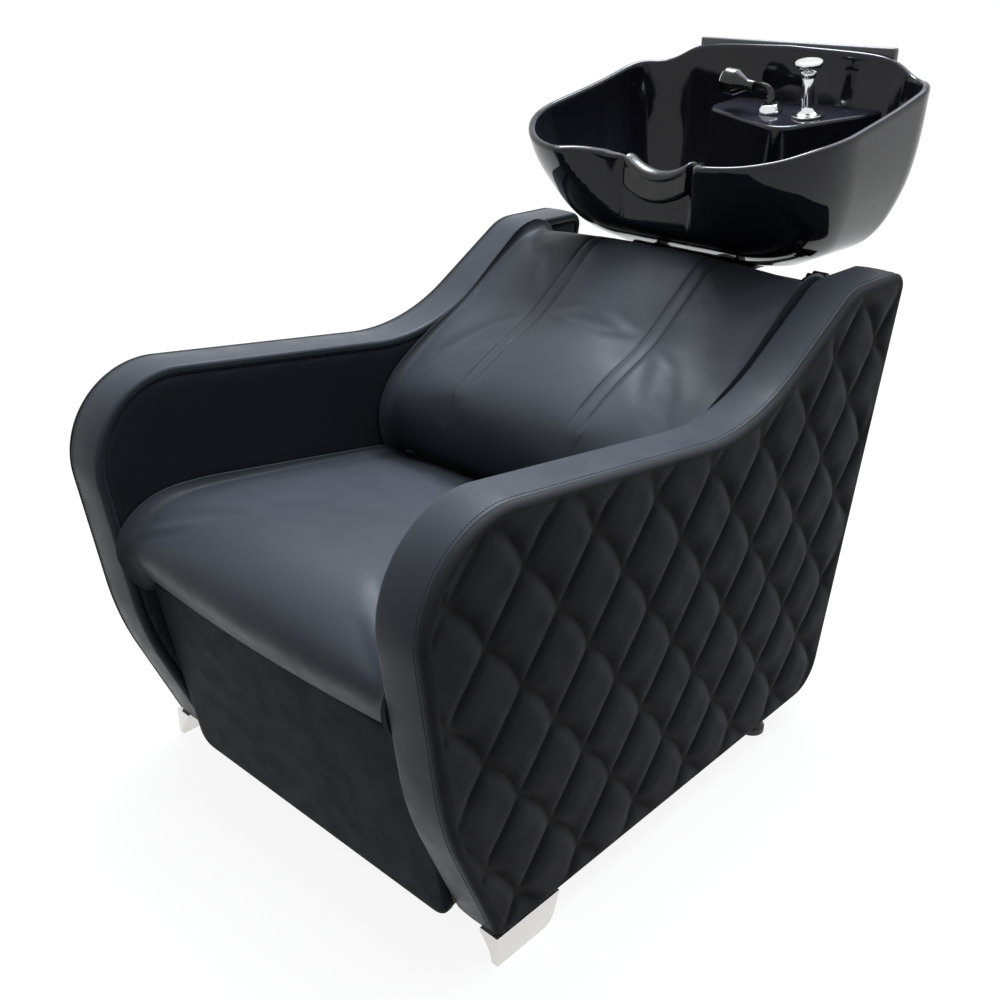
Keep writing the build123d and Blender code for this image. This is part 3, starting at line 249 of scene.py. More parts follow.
def smooth_line(points, steps):
    """Points of an even curve through the given ones, as an array."""
    line = [Vector(p).to_3d() for p in points]
    line = [2 * line[0] - line[1]] + line + [2 * line[-1] - line[-2]]
    found = []
    for a, b, c, d in zip(line, line[1:], line[2:], line[3:]):
        for step in range(16):
            t = step / 16
            found.append(0.5 * (2 * b + (c - a) * t + (2 * a - 5 * b + 4 * c - d) * t**2
                                + (3 * b - a - 3 * c + d) * t**3))
    found.append(line[-2])
    found = np.array(found)
    return even(found, steps)


def even(line, steps):
    """The same line with its points evenly apart."""
    line = np.array(line, float)
    run = np.concatenate([[0], np.cumsum(np.linalg.norm(np.diff(line, axis=0), axis=1))])
    marks = np.linspace(0, run[-1], steps + 1)
    return np.stack([np.interp(marks, run, line[:, axis]) for axis in range(line.shape[1])], axis=1)


def height_of(line, spot):
    """Height of a line given as (place, height) pairs, read smoothly at a place."""
    curve = smooth_line(line, 200)
    order = np.argsort(curve[:, 0])
    return np.interp(spot, curve[order, 0], curve[order, 1])


def rounded(corners, radii, inset=0, pitch=9, turn=radians(6)):
    """Closed outline with an arc at each corner, drawn in by an inset, its points counted at no inset."""
    corners = [Vector(c) for c in corners]
    following = corners[1:] + corners[:1]
    hand = 1 if sum(a.x * b.y - b.x * a.y for a, b in zip(corners, following)) > 0 else -1
    ways = [(b - a).normalized() for a, b in zip(corners, following)]
    inward = [Vector((-w.y, w.x)) * hand for w in ways]
    arcs = []
    for i, corner in enumerate(corners):
        angle = -ways[i - 1].angle_signed(ways[i])
        bends_out = angle * hand > 0
        bisector = (inward[i - 1] + inward[i]).normalized()
        half = abs(angle) / 2
        centre = corner + bisector * (radii[i] / cos(half)) * (1 if bends_out else -1)
        radius = radii[i] - inset if bends_out else radii[i] + inset
        if radius < LEAST_RADIUS:
            centre += bisector * (LEAST_RADIUS - radius) / cos(half)
            radius = LEAST_RADIUS
        start = -inward[i - 1] if bends_out else inward[i - 1]
        steps = max(2, int(abs(angle) / turn), int(abs(angle) * radii[i] / pitch))
        arcs.append([centre + Matrix.Rotation(angle * step / steps, 2) @ start * radius
                     for step in range(steps + 1)])
    points = []
    for i, arc in enumerate(arcs):
        points.extend(arc)
        ahead = arcs[(i + 1) % len(arcs)][0]
        steps = max(1, int((following[i] - corners[i]).length / (2 * pitch)))
        points.extend(arc[-1].lerp(ahead, step / steps) for step in range(1, steps))
    return np.array([tuple(p) for p in points])


def arm_outline(inset, pitch=9):
    """Outline of an arm, drawn in by an inset: Y and Z in millimetres."""
    corners = [(ARM_FRONT + y * ARM_LENGTH, z * ARM_HEIGHT) for y, z in ARM_CORNERS]
    rear = ARM_FRONT + ARM_LENGTH
    corners.append((rear, ARM_HEIGHT))
    corners.append((rear - (ARM_HEIGHT - ARM_GAP) * tan(ARM_LEAN), ARM_GAP))
    return rounded(corners, ARM_RADII, inset, pitch)


def deselect():
    if bpy.context.object and bpy.context.object.mode != "OBJECT":
        bpy.ops.object.mode_set(mode="OBJECT")
    bpy.ops.object.select_all(action="DESELECT")


def activate(piece):
    deselect()
    piece.select_set(True)
    bpy.context.view_layer.objects.active = piece


def clean(piece, merge=0.02 * MM):
    """Merges doubles and turns the faces outwards."""
    activate(piece)
    bpy.ops.object.mode_set(mode="EDIT")
    bpy.ops.mesh.select_all(action="SELECT")
    bpy.ops.mesh.remove_doubles(threshold=merge)
    bpy.ops.mesh.dissolve_degenerate(threshold=merge / 2)
    bpy.ops.mesh.select_all(action="SELECT")
    bpy.ops.mesh.normals_make_consistent(inside=False)
    bpy.ops.object.mode_set(mode="OBJECT")


def grid_piece(name, places, ring=False, merge=0.02 * MM):
    """A grid laid over a table of places, rows by columns, in millimetres. A ring closes each row."""
    if ring:
        places = np.concatenate([places, places[:, :1]], axis=1)
    rows, columns = places.shape[:2]
    deselect()
    bpy.ops.mesh.primitive_grid_add(x_subdivisions=columns - 1, y_subdivisions=rows - 1, size=2)
    piece = bpy.context.active_object
    piece.name = piece.data.name = name
    piece.data.vertices.foreach_set("co", (places.reshape(-1, 3) * MM).ravel())
    clean(piece, merge)
    return piece


def finish_piece(piece, body, finish, nodes=(), angle=None):
    """Gives a piece its finish, in its one material slot, and its body, and hides the nodes that it stands
    for.
    """
    activate(piece)
    if angle:
        bpy.ops.object.shade_smooth_by_angle(angle=angle)
    else:
        bpy.ops.object.shade_smooth()
    piece.data.materials.clear()
    piece.data.materials.append(finish_of(finish))
    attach(piece, body)
    if nodes:
        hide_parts(*nodes)
    return piece


def apply_modifiers(piece):
    activate(piece)
    for modifier in list(piece.modifiers):
        bpy.ops.object.modifier_apply(modifier=modifier.name)


def co_of(piece):
    co = np.zeros(len(piece.data.vertices) * 3)
    piece.data.vertices.foreach_get("co", co)
    return co.reshape(-1, 3)


def set_co(piece, co):
    piece.data.vertices.foreach_set("co", co.ravel())
    piece.data.update()


def inflate(piece, cap, pinned):
    """Lets the cover swell like cloth over foam, held at the pinned places, and caps how far it moves."""
    rest = co_of(piece)
    group = piece.vertex_groups.new(name="held")
    for index, hold in enumerate(pinned(rest / MM)):
        if hold > 0:
            group.add([index], float(hold), "REPLACE")
    cloth = piece.modifiers.new("Cover", "CLOTH")
    for setting, value in COVER.items():
        setattr(cloth.settings, setting, value)
    cloth.settings.vertex_group_mass = group.name
    cloth.settings.effector_weights.gravity = 0
    scene = bpy.context.scene
    for number in range(1, COVER_FRAMES + 1):
        scene.frame_set(number)
    swollen = piece.evaluated_get(bpy.context.evaluated_depsgraph_get())
    moved = co_of(swollen) - rest
    far = np.linalg.norm(moved, axis=1, keepdims=True)
    moved *= cap * MM * np.tanh(far / (cap * MM)) / np.maximum(far, 1e-9)
    piece.modifiers.remove(cloth)
    piece.vertex_groups.remove(group)
    set_co(piece, rest + moved)
    scene.frame_set(1)


# Finishes


def new_material(name):
    material = bpy.data.materials.new(name)
    material.use_nodes = True
    tree = material.node_tree
    shader = tree.nodes["Principled BSDF"]
    coords = tree.nodes.new("ShaderNodeTexCoord")
    return material, tree, shader, coords.outputs["Object"]


def noise(tree, coords, scale, detail=3.0):
    node = tree.nodes.new("ShaderNodeTexNoise")
    node.inputs["Scale"].default_value = scale
    node.inputs["Detail"].default_value = detail
    tree.links.new(coords, node.inputs["Vector"])
    return node.outputs["Fac"]


def ramp(tree, value, low, high, start=0.35, end=0.65):
    """Blends between two colours, or two numbers given as greys."""
    node = tree.nodes.new("ShaderNodeValToRGB")
    node.color_ramp.elements[0].position = start
    node.color_ramp.elements[1].position = end
    node.color_ramp.elements[0].color = (*low, 1) if hasattr(low, "__len__") else (low, low, low, 1)
    node.color_ramp.elements[1].color = (*high, 1) if hasattr(high, "__len__") else (high, high, high, 1)
    tree.links.new(value, node.inputs["Fac"])
    return node.outputs["Color"]


def vary(tree, shader, name, pattern, low, high):
    """Lets a pattern vary one of the shader's inputs between two values."""
    tree.links.new(ramp(tree, pattern, low, high), shader.inputs[name])


def bump(tree, shader, height, depth, strength=1.0, before=None):
    node = tree.nodes.new("ShaderNodeBump")
    node.inputs["Strength"].default_value = strength
    node.inputs["Distance"].default_value = depth
    tree.links.new(height, node.inputs["Height"])
    if before is not None:
        tree.links.new(before, node.inputs["Normal"])
    tree.links.new(node.outputs["Normal"], shader.inputs["Normal"])
    return node.outputs["Normal"]


def maths(tree, operation, first, second=None, third=None):
    node = tree.nodes.new("ShaderNodeMath")
    node.operation = operation
    for socket, value in zip(node.inputs, (first, second, third)):
        if value is None:
            continue
        if isinstance(value, (int, float)):
            socket.default_value = value
        else:
            tree.links.new(value, socket)
    return node.outputs[0]


def leather(name, colour, roughness, specular, grain=0.00012):
    """Soft leather: pebble grain, fine creases, uneven gloss."""
    material, tree, shader, coords = new_material(name)
    pebble = tree.nodes.new("ShaderNodeTexVoronoi")
    pebble.feature = "SMOOTH_F1"
    pebble.inputs["Scale"].default_value = PEBBLE_SCALE
    tree.links.new(coords, pebble.inputs["Vector"])
    wave = noise(tree, coords, CREASE_SCALE, 4)
    height = maths(tree, "MULTIPLY_ADD", wave, 0.6, pebble.outputs["Distance"])
    fine = bump(tree, shader, height, grain)
    soft = noise(tree, coords, 9, 2)
    bump(tree, shader, soft, 0.003, 0.12, fine)
    cloud = noise(tree, coords, 5.5, 5)
    vary(tree, shader, "Base Color", cloud, [c * 0.94 for c in colour], [c * 1.06 for c in colour])
    rub = noise(tree, coords, 28, 4)
    vary(tree, shader, "Roughness", rub, roughness - 0.05, roughness + 0.06)
    shader.inputs["Specular IOR Level"].default_value = specular
    return material


def quilt_leather(name, colour, roughness, specular):
    """The same leather with thread run along the diamonds' grooves, which its own map follows, and painted
    shade in them.
    """
    material = leather(name, colour, roughness, specular)
    tree = material.node_tree
    shader = tree.nodes["Principled BSDF"]
    uv = tree.nodes.new("ShaderNodeUVMap")
    uv.uv_map = "quilt"
    split = tree.nodes.new("ShaderNodeSeparateXYZ")
    tree.links.new(uv.outputs["UV"], split.inputs[0])
    marks = []
    for near, along in ((0, 1), (1, 0)):
        away = maths(tree, "PINGPONG", maths(tree, "ADD", split.outputs[near], 50), 0.5)
        thread = maths(tree, "LESS_THAN", away, THREAD_HALF)
        run = maths(tree, "MULTIPLY", maths(tree, "ADD", split.outputs[along], 50), THREAD_BEATS)
        filled = maths(tree, "LESS_THAN", maths(tree, "FRACT", run), THREAD_FILLED)
        marks.append(maths(tree, "MULTIPLY", thread, filled))
        marks.append(maths(tree, "MULTIPLY_ADD", away, GROOVE_SHADE_FADE, 1.0))
    stitch = maths(tree, "MAXIMUM", marks[0], marks[2])
    groove_painted_shade = maths(tree, "MAXIMUM", maths(tree, "MAXIMUM", marks[1], marks[3]), 0)
    old = shader.inputs["Normal"].links[0].from_socket
    bump(tree, shader, stitch, 0.0009, 0.9, old)
    base = shader.inputs["Base Color"].links[0].from_socket
    # Painted shade: the cover's colour is multiplied darker towards each groove
    mix = tree.nodes.new("ShaderNodeMix")
    mix.data_type = "RGBA"
    mix.blend_type = "MULTIPLY"
    tree.links.new(groove_painted_shade, mix.inputs["Factor"])
    tree.links.new(base, mix.inputs["A"])
    mix.inputs["B"].default_value = (GROOVE_SHADE, GROOVE_SHADE, GROOVE_SHADE, 1)
    tree.links.new(mix.outputs["Result"], shader.inputs["Base Color"])
    return material


def glaze(name, colour, roughness=0.05):
    """Fired glaze: deep gloss over a faintly uneven body."""
    material, tree, shader, coords = new_material(name)
    flow = noise(tree, coords, 16, 2)
    bump(tree, shader, flow, 0.0012, 0.35)
    cloud = noise(tree, coords, 7, 3)
    vary(tree, shader, "Base Color", cloud, colour, [c * 1.5 for c in colour])
    haze = noise(tree, coords, 34, 4)
    vary(tree, shader, "Roughness", haze, roughness, roughness + 0.05)
    shader.inputs["Specular IOR Level"].default_value = 0.3
    return material


def metal(name, colour, roughness, brushed=0.0):
    """Bright metal, its gloss broken by fine rub marks."""
    material, tree, shader, coords = new_material(name)
    shader.inputs["Metallic"].default_value = 1
    stretch = tree.nodes.new("ShaderNodeMapping")
    stretch.inputs["Scale"].default_value = (40, 3, 40) if brushed else (1, 1, 1)
    tree.links.new(coords, stretch.inputs["Vector"])
    marks = noise(tree, stretch.outputs[0], 30, 4)
    vary(tree, shader, "Roughness", marks, roughness, roughness + 0.1)
    vary(tree, shader, "Base Color", marks, [c * 0.94 for c in colour], colour)
    bump(tree, shader, marks, 0.00005 + brushed, 0.3)
    return material


def plain(name, colour, roughness, grain=400, depth=0.0001, spread=0.1, specular=0.5):
    """Moulded, painted or pressed material with its fine texture."""
    material, tree, shader, coords = new_material(name)
    speck = noise(tree, coords, grain, 3)
    bump(tree, shader, speck, depth, 0.8)
    cloud = noise(tree, coords, 14, 4)
    low, high = ([c * (1 + way * spread) for c in colour] for way in (-1, 1))
    vary(tree, shader, "Base Color", cloud, low, high)
    vary(tree, shader, "Roughness", speck, roughness - 0.06, roughness + 0.08)
    shader.inputs["Specular IOR Level"].default_value = specular
    return material


def plywood(name):
    """Pale plywood with its grain along Y."""
    material, tree, shader, coords = new_material(name)
    stretch = tree.nodes.new("ShaderNodeMapping")
    stretch.inputs["Scale"].default_value = (60, 4, 60)
    tree.links.new(coords, stretch.inputs["Vector"])
    grain = noise(tree, stretch.outputs[0], 3, 6)
    vary(tree, shader, "Base Color", grain, (0.42, 0.28, 0.16), (0.62, 0.46, 0.29))
    vary(tree, shader, "Roughness", grain, 0.6, 0.75)
    bump(tree, shader, grain, 0.0004, 0.5)
    return material


def looks():
    return bpy.context.scene.wash_looks


# Each finish: what makes it, and its values. A colour in words is one of the looks
FINISHES = {
    "seat_leather": (leather, "seat_colour", 0.41, 0.12),
    "kick_leather": (leather, "seat_colour", 0.5, 0.02),
    "band_leather": (leather, "band_colour", 0.40, 0.12),
    "inner_leather": (leather, "shaded_inner_colour", 0.55, 0.12),
    "quilted_leather": (quilt_leather, "shaded_quilt_colour", 0.6, 0.06),
    "black_glaze": (glaze, "glaze_colour"),
    "chrome": (metal, "chrome_colour", 0.05),
    "polished_steel": (metal, "steel_colour", 0.16, 0.00004),
    "zinc_steel": (metal, (0.42, 0.43, 0.45), 0.34),
    "brass": (metal, (0.70, 0.50, 0.22), 0.22),
    "frame_paint": (plain, (0.018, 0.018, 0.02), 0.42, 260, 0.0002),
    "black_plastic": (plain, (0.02, 0.02, 0.021), 0.45, 520),
    "gloss_black": (plain, (0.006, 0.006, 0.007), 0.12, 60, 0.00003),
    "grey_plastic": (plain, (0.16, 0.165, 0.17), 0.4, 300),
    "white_plastic": (plain, (0.72, 0.72, 0.70), 0.38, 300, 0.0001, 0.04),
    "rubber": (plain, (0.016, 0.016, 0.016), 0.7, 340, 0.0002),
    "gel": (plain, (0.008, 0.008, 0.010), 0.2, 40, 0.0003),
    "black_board": (plain, (0.015, 0.015, 0.017), 0.6, 700, 0.0002, 0.2, 0.3),
    "core_board": (plywood,),
}
MADE = {}


def finish_of(name):
    """A finish is made once and shared."""
    if name not in MADE:
        make, *values = FINISHES[name]
        MADE[name] = make(name, *[getattr(looks(), v) if isinstance(v, str) else v for v in values])
    return MADE[name]


SLOT_OF = {part["node"]: part["material_slot"] for part in frame["record"]["subparts"]}
BODY_OF = {node: body for body, nodes in frame["record"]["behaviour"]["bodies"].items() for node in nodes}


# Stitching


def stitch_row(name, line, outward, finish, length=3.2, gap=1.4, radius=0.45, sides=5):
    """Threads laid along a line of places in millimetres, each a short bent capsule that dips at its ends."""
    line = np.array(line, float)
    run = np.concatenate([[0], np.cumsum(np.linalg.norm(np.diff(line, axis=0), axis=1))])
    outward = np.array(outward, float)
    if outward.ndim == 1:
        outward = np.repeat(outward[None], len(line), axis=0)

    def at(table, mark):
        return np.array([np.interp(mark, run, table[:, axis]) for axis in range(3)])

    spots, faces = [], []
    mark = gap
    while mark + length < run[-1]:
        base = len(spots)
        for share, swell, lift in ((0, 0.45, -0.35), (0.2, 1, 0.25), (0.8, 1, 0.25), (1, 0.45, -0.35)):
            spot = at(line, mark + share * length)
            ahead = at(line, mark + share * length + 0.2) - at(line, mark + share * length - 0.2)
            ahead /= max(np.linalg.norm(ahead), 1e-9)
            out = at(outward, mark + share * length)
            out /= max(np.linalg.norm(out), 1e-9)
            across = np.cross(ahead, out)
            for side in range(sides):
                turn = 2 * pi * side / sides
                rise = out * (lift + swell * sin(turn)) + across * swell * cos(turn)
                spots.append(spot + rise * radius)
        for ring in range(3):
            for side in range(sides):
                a = base + ring * sides + side
                b = base + ring * sides + (side + 1) % sides
                faces.append((a, b, b + sides, a + sides))
        faces.append(tuple(base + side for side in reversed(range(sides))))
        faces.append(tuple(base + 3 * sides + side for side in range(sides)))
        mark += length + gap
    mesh = bpy.data.meshes.new(name)
    mesh.from_pydata((np.array(spots) * MM).tolist(), [], faces)
    piece = bpy.data.objects.new(name, mesh)
    bpy.context.scene.collection.objects.link(piece)
    clean(piece, 0.001 * MM)
    return finish_piece(piece, "chair", finish)


# Arms


def band_section():
    """The band's closed section: place across the arm and depth below the outline."""
    roll_end = ARM_INNER + BAND_ROLL
    top = [(ARM_INNER, BAND + 1), (ARM_INNER, BAND_ROLL + 2)]
    for turn in range(0, 91, 15):
        angle = radians(turn)
        top.append((roll_end - BAND_ROLL * cos(angle), BAND_ROLL - BAND_ROLL * sin(angle)))
    width = SEAM_X - SEAM_EDGE[0][0] - roll_end
    for step in range(1, 12):
        share = step / 12
        top.append((roll_end + share * width, -BAND_CROWN * sin(pi * share) ** 0.8))
    top += [(SEAM_X - inwards, down) for inwards, down in SEAM_EDGE]
    return top + [(SEAM_X, BAND), ((SEAM_X + ARM_INNER) / 2, BAND), (ARM_INNER + 3, BAND + 1)]


def make_band(side, hand):
    outer = arm_outline(0)
    inner = arm_outline(BAND)
    rows = []
    for x, depth in band_section():
        spots = outer + (inner - outer) * depth / BAND
        rows.append(np.column_stack([np.full(len(spots), side * x), spots]))
    rows.append(rows[0])
    band = grid_piece(hand + "_band", np.array(rows), ring=True)
    finish_piece(band, "chair", "band_leather", [hand + "_arm_band"])
    # Threads run where the band shows: up from the floor side and round the top
    outline = np.concatenate([outer, outer[:1]])
    outside = outline - np.concatenate([inner, inner[:1]])
    keep = outline[:, 1] > ARM_GAP + 8
    start = int(np.argmax(~keep)) if not keep.all() else 0
    order = [i for i in np.roll(np.arange(len(outline) - 1), -start) if keep[i]]
    line, out = outline[order], outside[order] / BAND
    place = np.column_stack([np.full(len(line), side * (SEAM_X - SEAM_TO_THREAD)), line + out * 0.55])
    away = np.column_stack([np.zeros(len(out)), out])
    stitch_row(hand + "_band_stitches", place, away, "band_leather")
    place = np.column_stack([np.full(len(line), side * (ARM_INNER - 0.1)), line - out * INNER_THREAD_DROP])
    stitch_row(hand + "_inner_stitches", place, (-side, 0, 0), "band_leather")


def nearest_on(outline, spots):
    """Nearest place on an outline for each spot: segment, share along it, and distance, inside positive."""
    step = np.roll(outline, -1, axis=0) - outline
    long = (step**2).sum(1)
    best = np.full(len(spots), 1e18)
    segment = np.zeros(len(spots), int)
    share = np.zeros(len(spots))
    inside = np.zeros(len(spots), bool)
    for i in range(len(outline)):
        offset = spots - outline[i]
        t = np.clip((offset @ step[i]) / max(long[i], 1e-12), 0, 1)
        far = ((offset - t[:, None] * step[i]) ** 2).sum(1)
        closer = far < best
        best[closer], segment[closer], share[closer] = far[closer], i, t[closer]
        a, b = outline[i], outline[i] + step[i]
        spans = (a[1] > spots[:, 1]) != (b[1] > spots[:, 1])
        rise = b[1] - a[1] if b[1] != a[1] else 1e-12
        cross = a[0] + (spots[:, 1] - a[1]) / rise * (b[0] - a[0])
        inside ^= spans & (spots[:, 0] < cross)
    return segment, share, np.sqrt(best) * np.where(inside, 1, -1)


def pad_piece(name, inner, outer, pitch, surface, edge, place, uv=None):
    """An upholstered panel: a grid cut to the inner outline, its rim rolled over to the outer one.

    surface(spots, distance) gives the height of the cover, edge lists (share towards the outer outline,
    height) down to the back, and place(spots, height) puts both in the room.
    """
    low, high = inner.min(0), inner.max(0)
    columns = int((high[0] - low[0]) / pitch) + 3
    rows = int((high[1] - low[1]) / pitch) + 3
    ys = low[0] - pitch + pitch * np.arange(columns)
    zs = low[1] - pitch + pitch * np.arange(rows)
    spots = np.stack(np.meshgrid(ys, zs), axis=-1).reshape(-1, 2)
    segment, share, distance = nearest_on(inner, spots)
    inside = distance > 0.35 * pitch
    ids = np.arange(len(spots)).reshape(rows, columns)
    quads = np.stack([ids[:-1, :-1], ids[:-1, 1:], ids[1:, 1:], ids[1:, :-1]], axis=-1).reshape(-1, 4)
    quads = quads[inside[quads].any(axis=1)]
    following = np.roll(inner, -1, axis=0)
    snapped = inner[segment] + share[:, None] * (following - inner)[segment]
    spots[~inside] = snapped[~inside]
    distance = np.where(inside, distance, 0)
    used = np.unique(quads)
    renumber = np.full(len(ids.ravel()), -1)
    renumber[used] = np.arange(len(used))
    quads = renumber[quads]
    flat, distance, segment, share = spots[used], distance[used], segment[used], share[used]
    build = bmesh.new()
    heights = surface(flat, distance)
    for co in place(flat, heights) * MM:
        build.verts.new(co)
    build.verts.ensure_lookup_table()
    build.verts.index_update()
    for quad in quads:
        build.faces.new([build.verts[i] for i in quad])
    if uv:
        map_layer = build.loops.layers.uv.new("quilt")
        flat_uv = uv(flat)
    rim = [e for e in build.edges if len(e.link_faces) == 1]
    outer_following = np.roll(outer, -1, axis=0)
    rim_in = inner[segment] + share[:, None] * (following - inner)[segment]
    rim_out = outer[segment] + share[:, None] * (outer_following - outer)[segment]
    rim_ids = sorted({v.index for e in rim for v in e.verts})
    pairs = []
    for e in rim:
        loop = e.link_loops[0]
        pairs.append((loop.vert.index, loop.link_loop_next.vert.index))
    last = {i: build.verts[i] for i in rim_ids}
    table = np.array(rim_ids)
    for out_share, height in edge:
        row = rim_in[table] + (rim_out - rim_in)[table] * out_share
        turned = place(row, np.full(len(row), float(height))) * MM
        fresh = {i: build.verts.new(co) for i, co in zip(rim_ids, turned)}
        for a, b in pairs:
            build.faces.new((last[b], last[a], fresh[a], fresh[b]))
        last = fresh
    middle = flat.mean(axis=0)
    centre = build.verts.new(place(middle[None], np.array([float(edge[-1][1])]))[0] * MM)
    for a, b in pairs:
        build.faces.new((last[b], last[a], centre))
    if uv:
        for face in build.faces:
            for loop in face.loops:
                index = loop.vert.index
                loop[map_layer].uv = flat_uv[index] if 0 <= index < len(flat) else (0.5, 0.5)
    mesh = bpy.data.meshes.new(name)
    build.to_mesh(mesh)
    build.free()
    piece = bpy.data.objects.new(name, mesh)
    bpy.context.scene.collection.objects.link(piece)
    clean(piece, 0.05 * MM)
    return piece


def quilt_map(spots):
    """Where a spot lies in the lattice of diamonds, one set of lines straight and the other bowed."""
    u = (spots[:, 0] - QUILT_MIDDLE[0]) / QUILT_HALF_WIDTH
    w = (spots[:, 1] - QUILT_MIDDLE[1]) / QUILT_HALF_HEIGHT
    p, q = (u - w) / 2, (u + w) / 2
    q = q - QUILT_BOW * np.sin(pi * (p - np.floor(p)))
    return np.stack([p, q], axis=1)


def quilt_surface(spots, distance):
    """Soft diamonds between sewn grooves, fading out towards the rolled edge."""
    lattice = quilt_map(spots)
    near = np.abs(lattice - np.round(lattice)) * QUILT_CELL
    puff = 1 - (1 - np.clip((near - QUILT_GROOVE) / QUILT_SLOPE, 0, 1)) ** 2.8
    dome = puff[:, 0] * puff[:, 1]
    fade = np.clip(distance / 30, 0, 1)
    fade = fade * fade * (3 - 2 * fade)
    swell = np.clip(distance / 46, 0, 1)
    return ARM_OUTER + QUILT_SWELL * swell - looks().quilt_depth / MM * (1 - dome) * (0.3 + 0.7 * fade)


def beside(side):
    """Puts an arm's face in the room, its height being the distance from the chair's middle."""
    return lambda spots, height: np.column_stack([side * height, spots])


def make_quilt(side, hand):
    edge = []
    for turn in range(15, 91, 15):
        angle = radians(turn)
        edge.append(((3 + 9 * sin(angle)) / BAND, SEAM_X + 1.2 + 8.8 * cos(angle)))
    edge += [(0.97, SEAM_X + 0.4), (0.8, SEAM_X), (0.0, SEAM_X)]
    pad = pad_piece(
        hand + "_quilting", arm_outline(BAND, 5), arm_outline(0, 5), QUILT_PITCH, quilt_surface, edge,
        beside(side), quilt_map,
    )
    finish_piece(pad, "chair", "quilted_leather", [hand + "_quilted_pad"])


def make_inner_pad(side, hand):
    def surface(spots, distance):
        return ARM_INNER + 1.8 * (1 - np.clip(distance / 14, 0, 1)) ** 2

    pad = pad_piece(
        hand + "_inner_lining", arm_outline(BAND + 0.6), arm_outline(BAND), 9, surface,
        [(0.6, ARM_INNER + 4), (0.6, ARM_INNER + 11.5)],
        beside(side),
    )
    finish_piece(pad, "chair", "inner_leather", [hand + "_inner_pad"])


# Cushions


def plane_place(start, tilt, along, out, x):
    """Places in the room for points given along a side plane and out from it."""
    return np.stack([
        x + 0 * along,
        start[0] + along * cos(tilt) - out * sin(tilt),
        start[1] + along * sin(tilt) + out * cos(tilt),
    ], axis=-1)


def cushion_columns(extra, pitch=9, edge=CUSHION_EDGE):
    """Places across a cushion, closer together at its rolled sides and at the extra lines."""
    half = CUSHION_HALF - edge
    spots = set(np.round(np.linspace(-half, half, int(2 * half / pitch) + 1), 2))
    for line in extra:
        spots = {x for x in spots if abs(x - line) > 4.2}
        spots |= {line - 3.6, line - 1.4, line, line + 1.4, line + 3.6}
    columns = [(x, 0.0) for x in sorted(spots)]
    rolls = []
    for step in range(1, 8):
        angle = radians(90 * step / 7)
        rolls.append((half + edge * sin(angle), edge * (1 - cos(angle))))
    return [(-x, inset) for x, inset in reversed(rolls)] + columns + rolls


def shrink(loop, inset):
    """A closed loop of points drawn in by an inset along its own normals."""
    ahead = np.roll(loop, -1, axis=0) - np.roll(loop, 1, axis=0)
    ahead /= np.maximum(np.linalg.norm(ahead, axis=1, keepdims=True), 1e-9)
    return loop - np.column_stack([ahead[:, 1], -ahead[:, 0]]) * inset


def cushion_loop(line, length, thick, crown, bow, x, rows):
    """Closed section of a cushion, evenly divided, with softened lower corners."""
    share = (x / CUSHION_HALF) ** 2
    top = 1 - share * crown / thick
    knots = [(u * length + share * bow * (u < 0.9), v * thick * top) for u, v in line]
    upper = smooth_line(knots, 300)[:, :2]
    base = np.array([upper[-1], (length, 0), upper[0]])
    loop = np.concatenate([even(upper, int(rows * 0.62)), even(base, rows - int(rows * 0.62))[1:-1]])
    for _ in range(3):
        loop = (np.roll(loop, 1, axis=0) + 2 * loop + np.roll(loop, -1, axis=0)) / 4
    return loop


def make_cushion(name, line, start, tilt, length, thick, crown, bow, rows, extra, slim):
    """A cushion's cover as one closed mesh, its sides rolled in, a little smaller than it will be."""
    table = []
    for x, inset in cushion_columns(extra):
        loop = cushion_loop(line, length, thick, crown, bow, min(abs(x), CUSHION_HALF), rows)
        loop = shrink(loop, inset + slim)
        table.append(plane_place(start, tilt, loop[:, 0], loop[:, 1], x * (1 - slim / CUSHION_HALF)))
    first, last = table[0], table[-1]
    for share in (0.75, 0.4, 0):
        table.insert(0, first.mean(axis=0) * (1 - share) + first * share)
        table.append(last.mean(axis=0) * (1 - share) + last * share)
    return grid_piece(name, np.array(table), ring=True)


def to_plane(co, start, tilt):
    """Along and out of a side plane for places in millimetres."""
    y, z = co[:, 1] - start[0], co[:, 2] - start[1]
    return y * cos(tilt) + z * sin(tilt), -y * sin(tilt) + z * cos(tilt)


def subdivide(piece, levels=1):
    modifier = piece.modifiers.new("Smooth", "SUBSURF")
    modifier.levels = modifier.render_levels = levels
    apply_modifiers(piece)


def normals_of(piece):
    normals = np.zeros(len(piece.data.vertices) * 3)
    piece.data.vertices.foreach_get("normal", normals)
    return normals.reshape(-1, 3)


def make_seat():
    seat = make_cushion("seat_cover", SEAT_LINE, SEAT_START, SEAT_TILT, SEAT_LENGTH, SEAT_THICK, SEAT_CROWN,
                        SEAT_BOW, 130, [], SEAT_SLIM)

    def held(co):
        along, out = to_plane(co, SEAT_START, SEAT_TILT)
        return np.clip(np.maximum(1 - out / HELD_SEAT, (np.abs(co[:, 0]) - HELD_SIDE) / HELD_FADE), 0, 1)

    inflate(seat, looks().seat_swell / MM, held)
    subdivide(seat)
    return finish_piece(seat, "chair", "seat_leather", ["seat_cushion"])


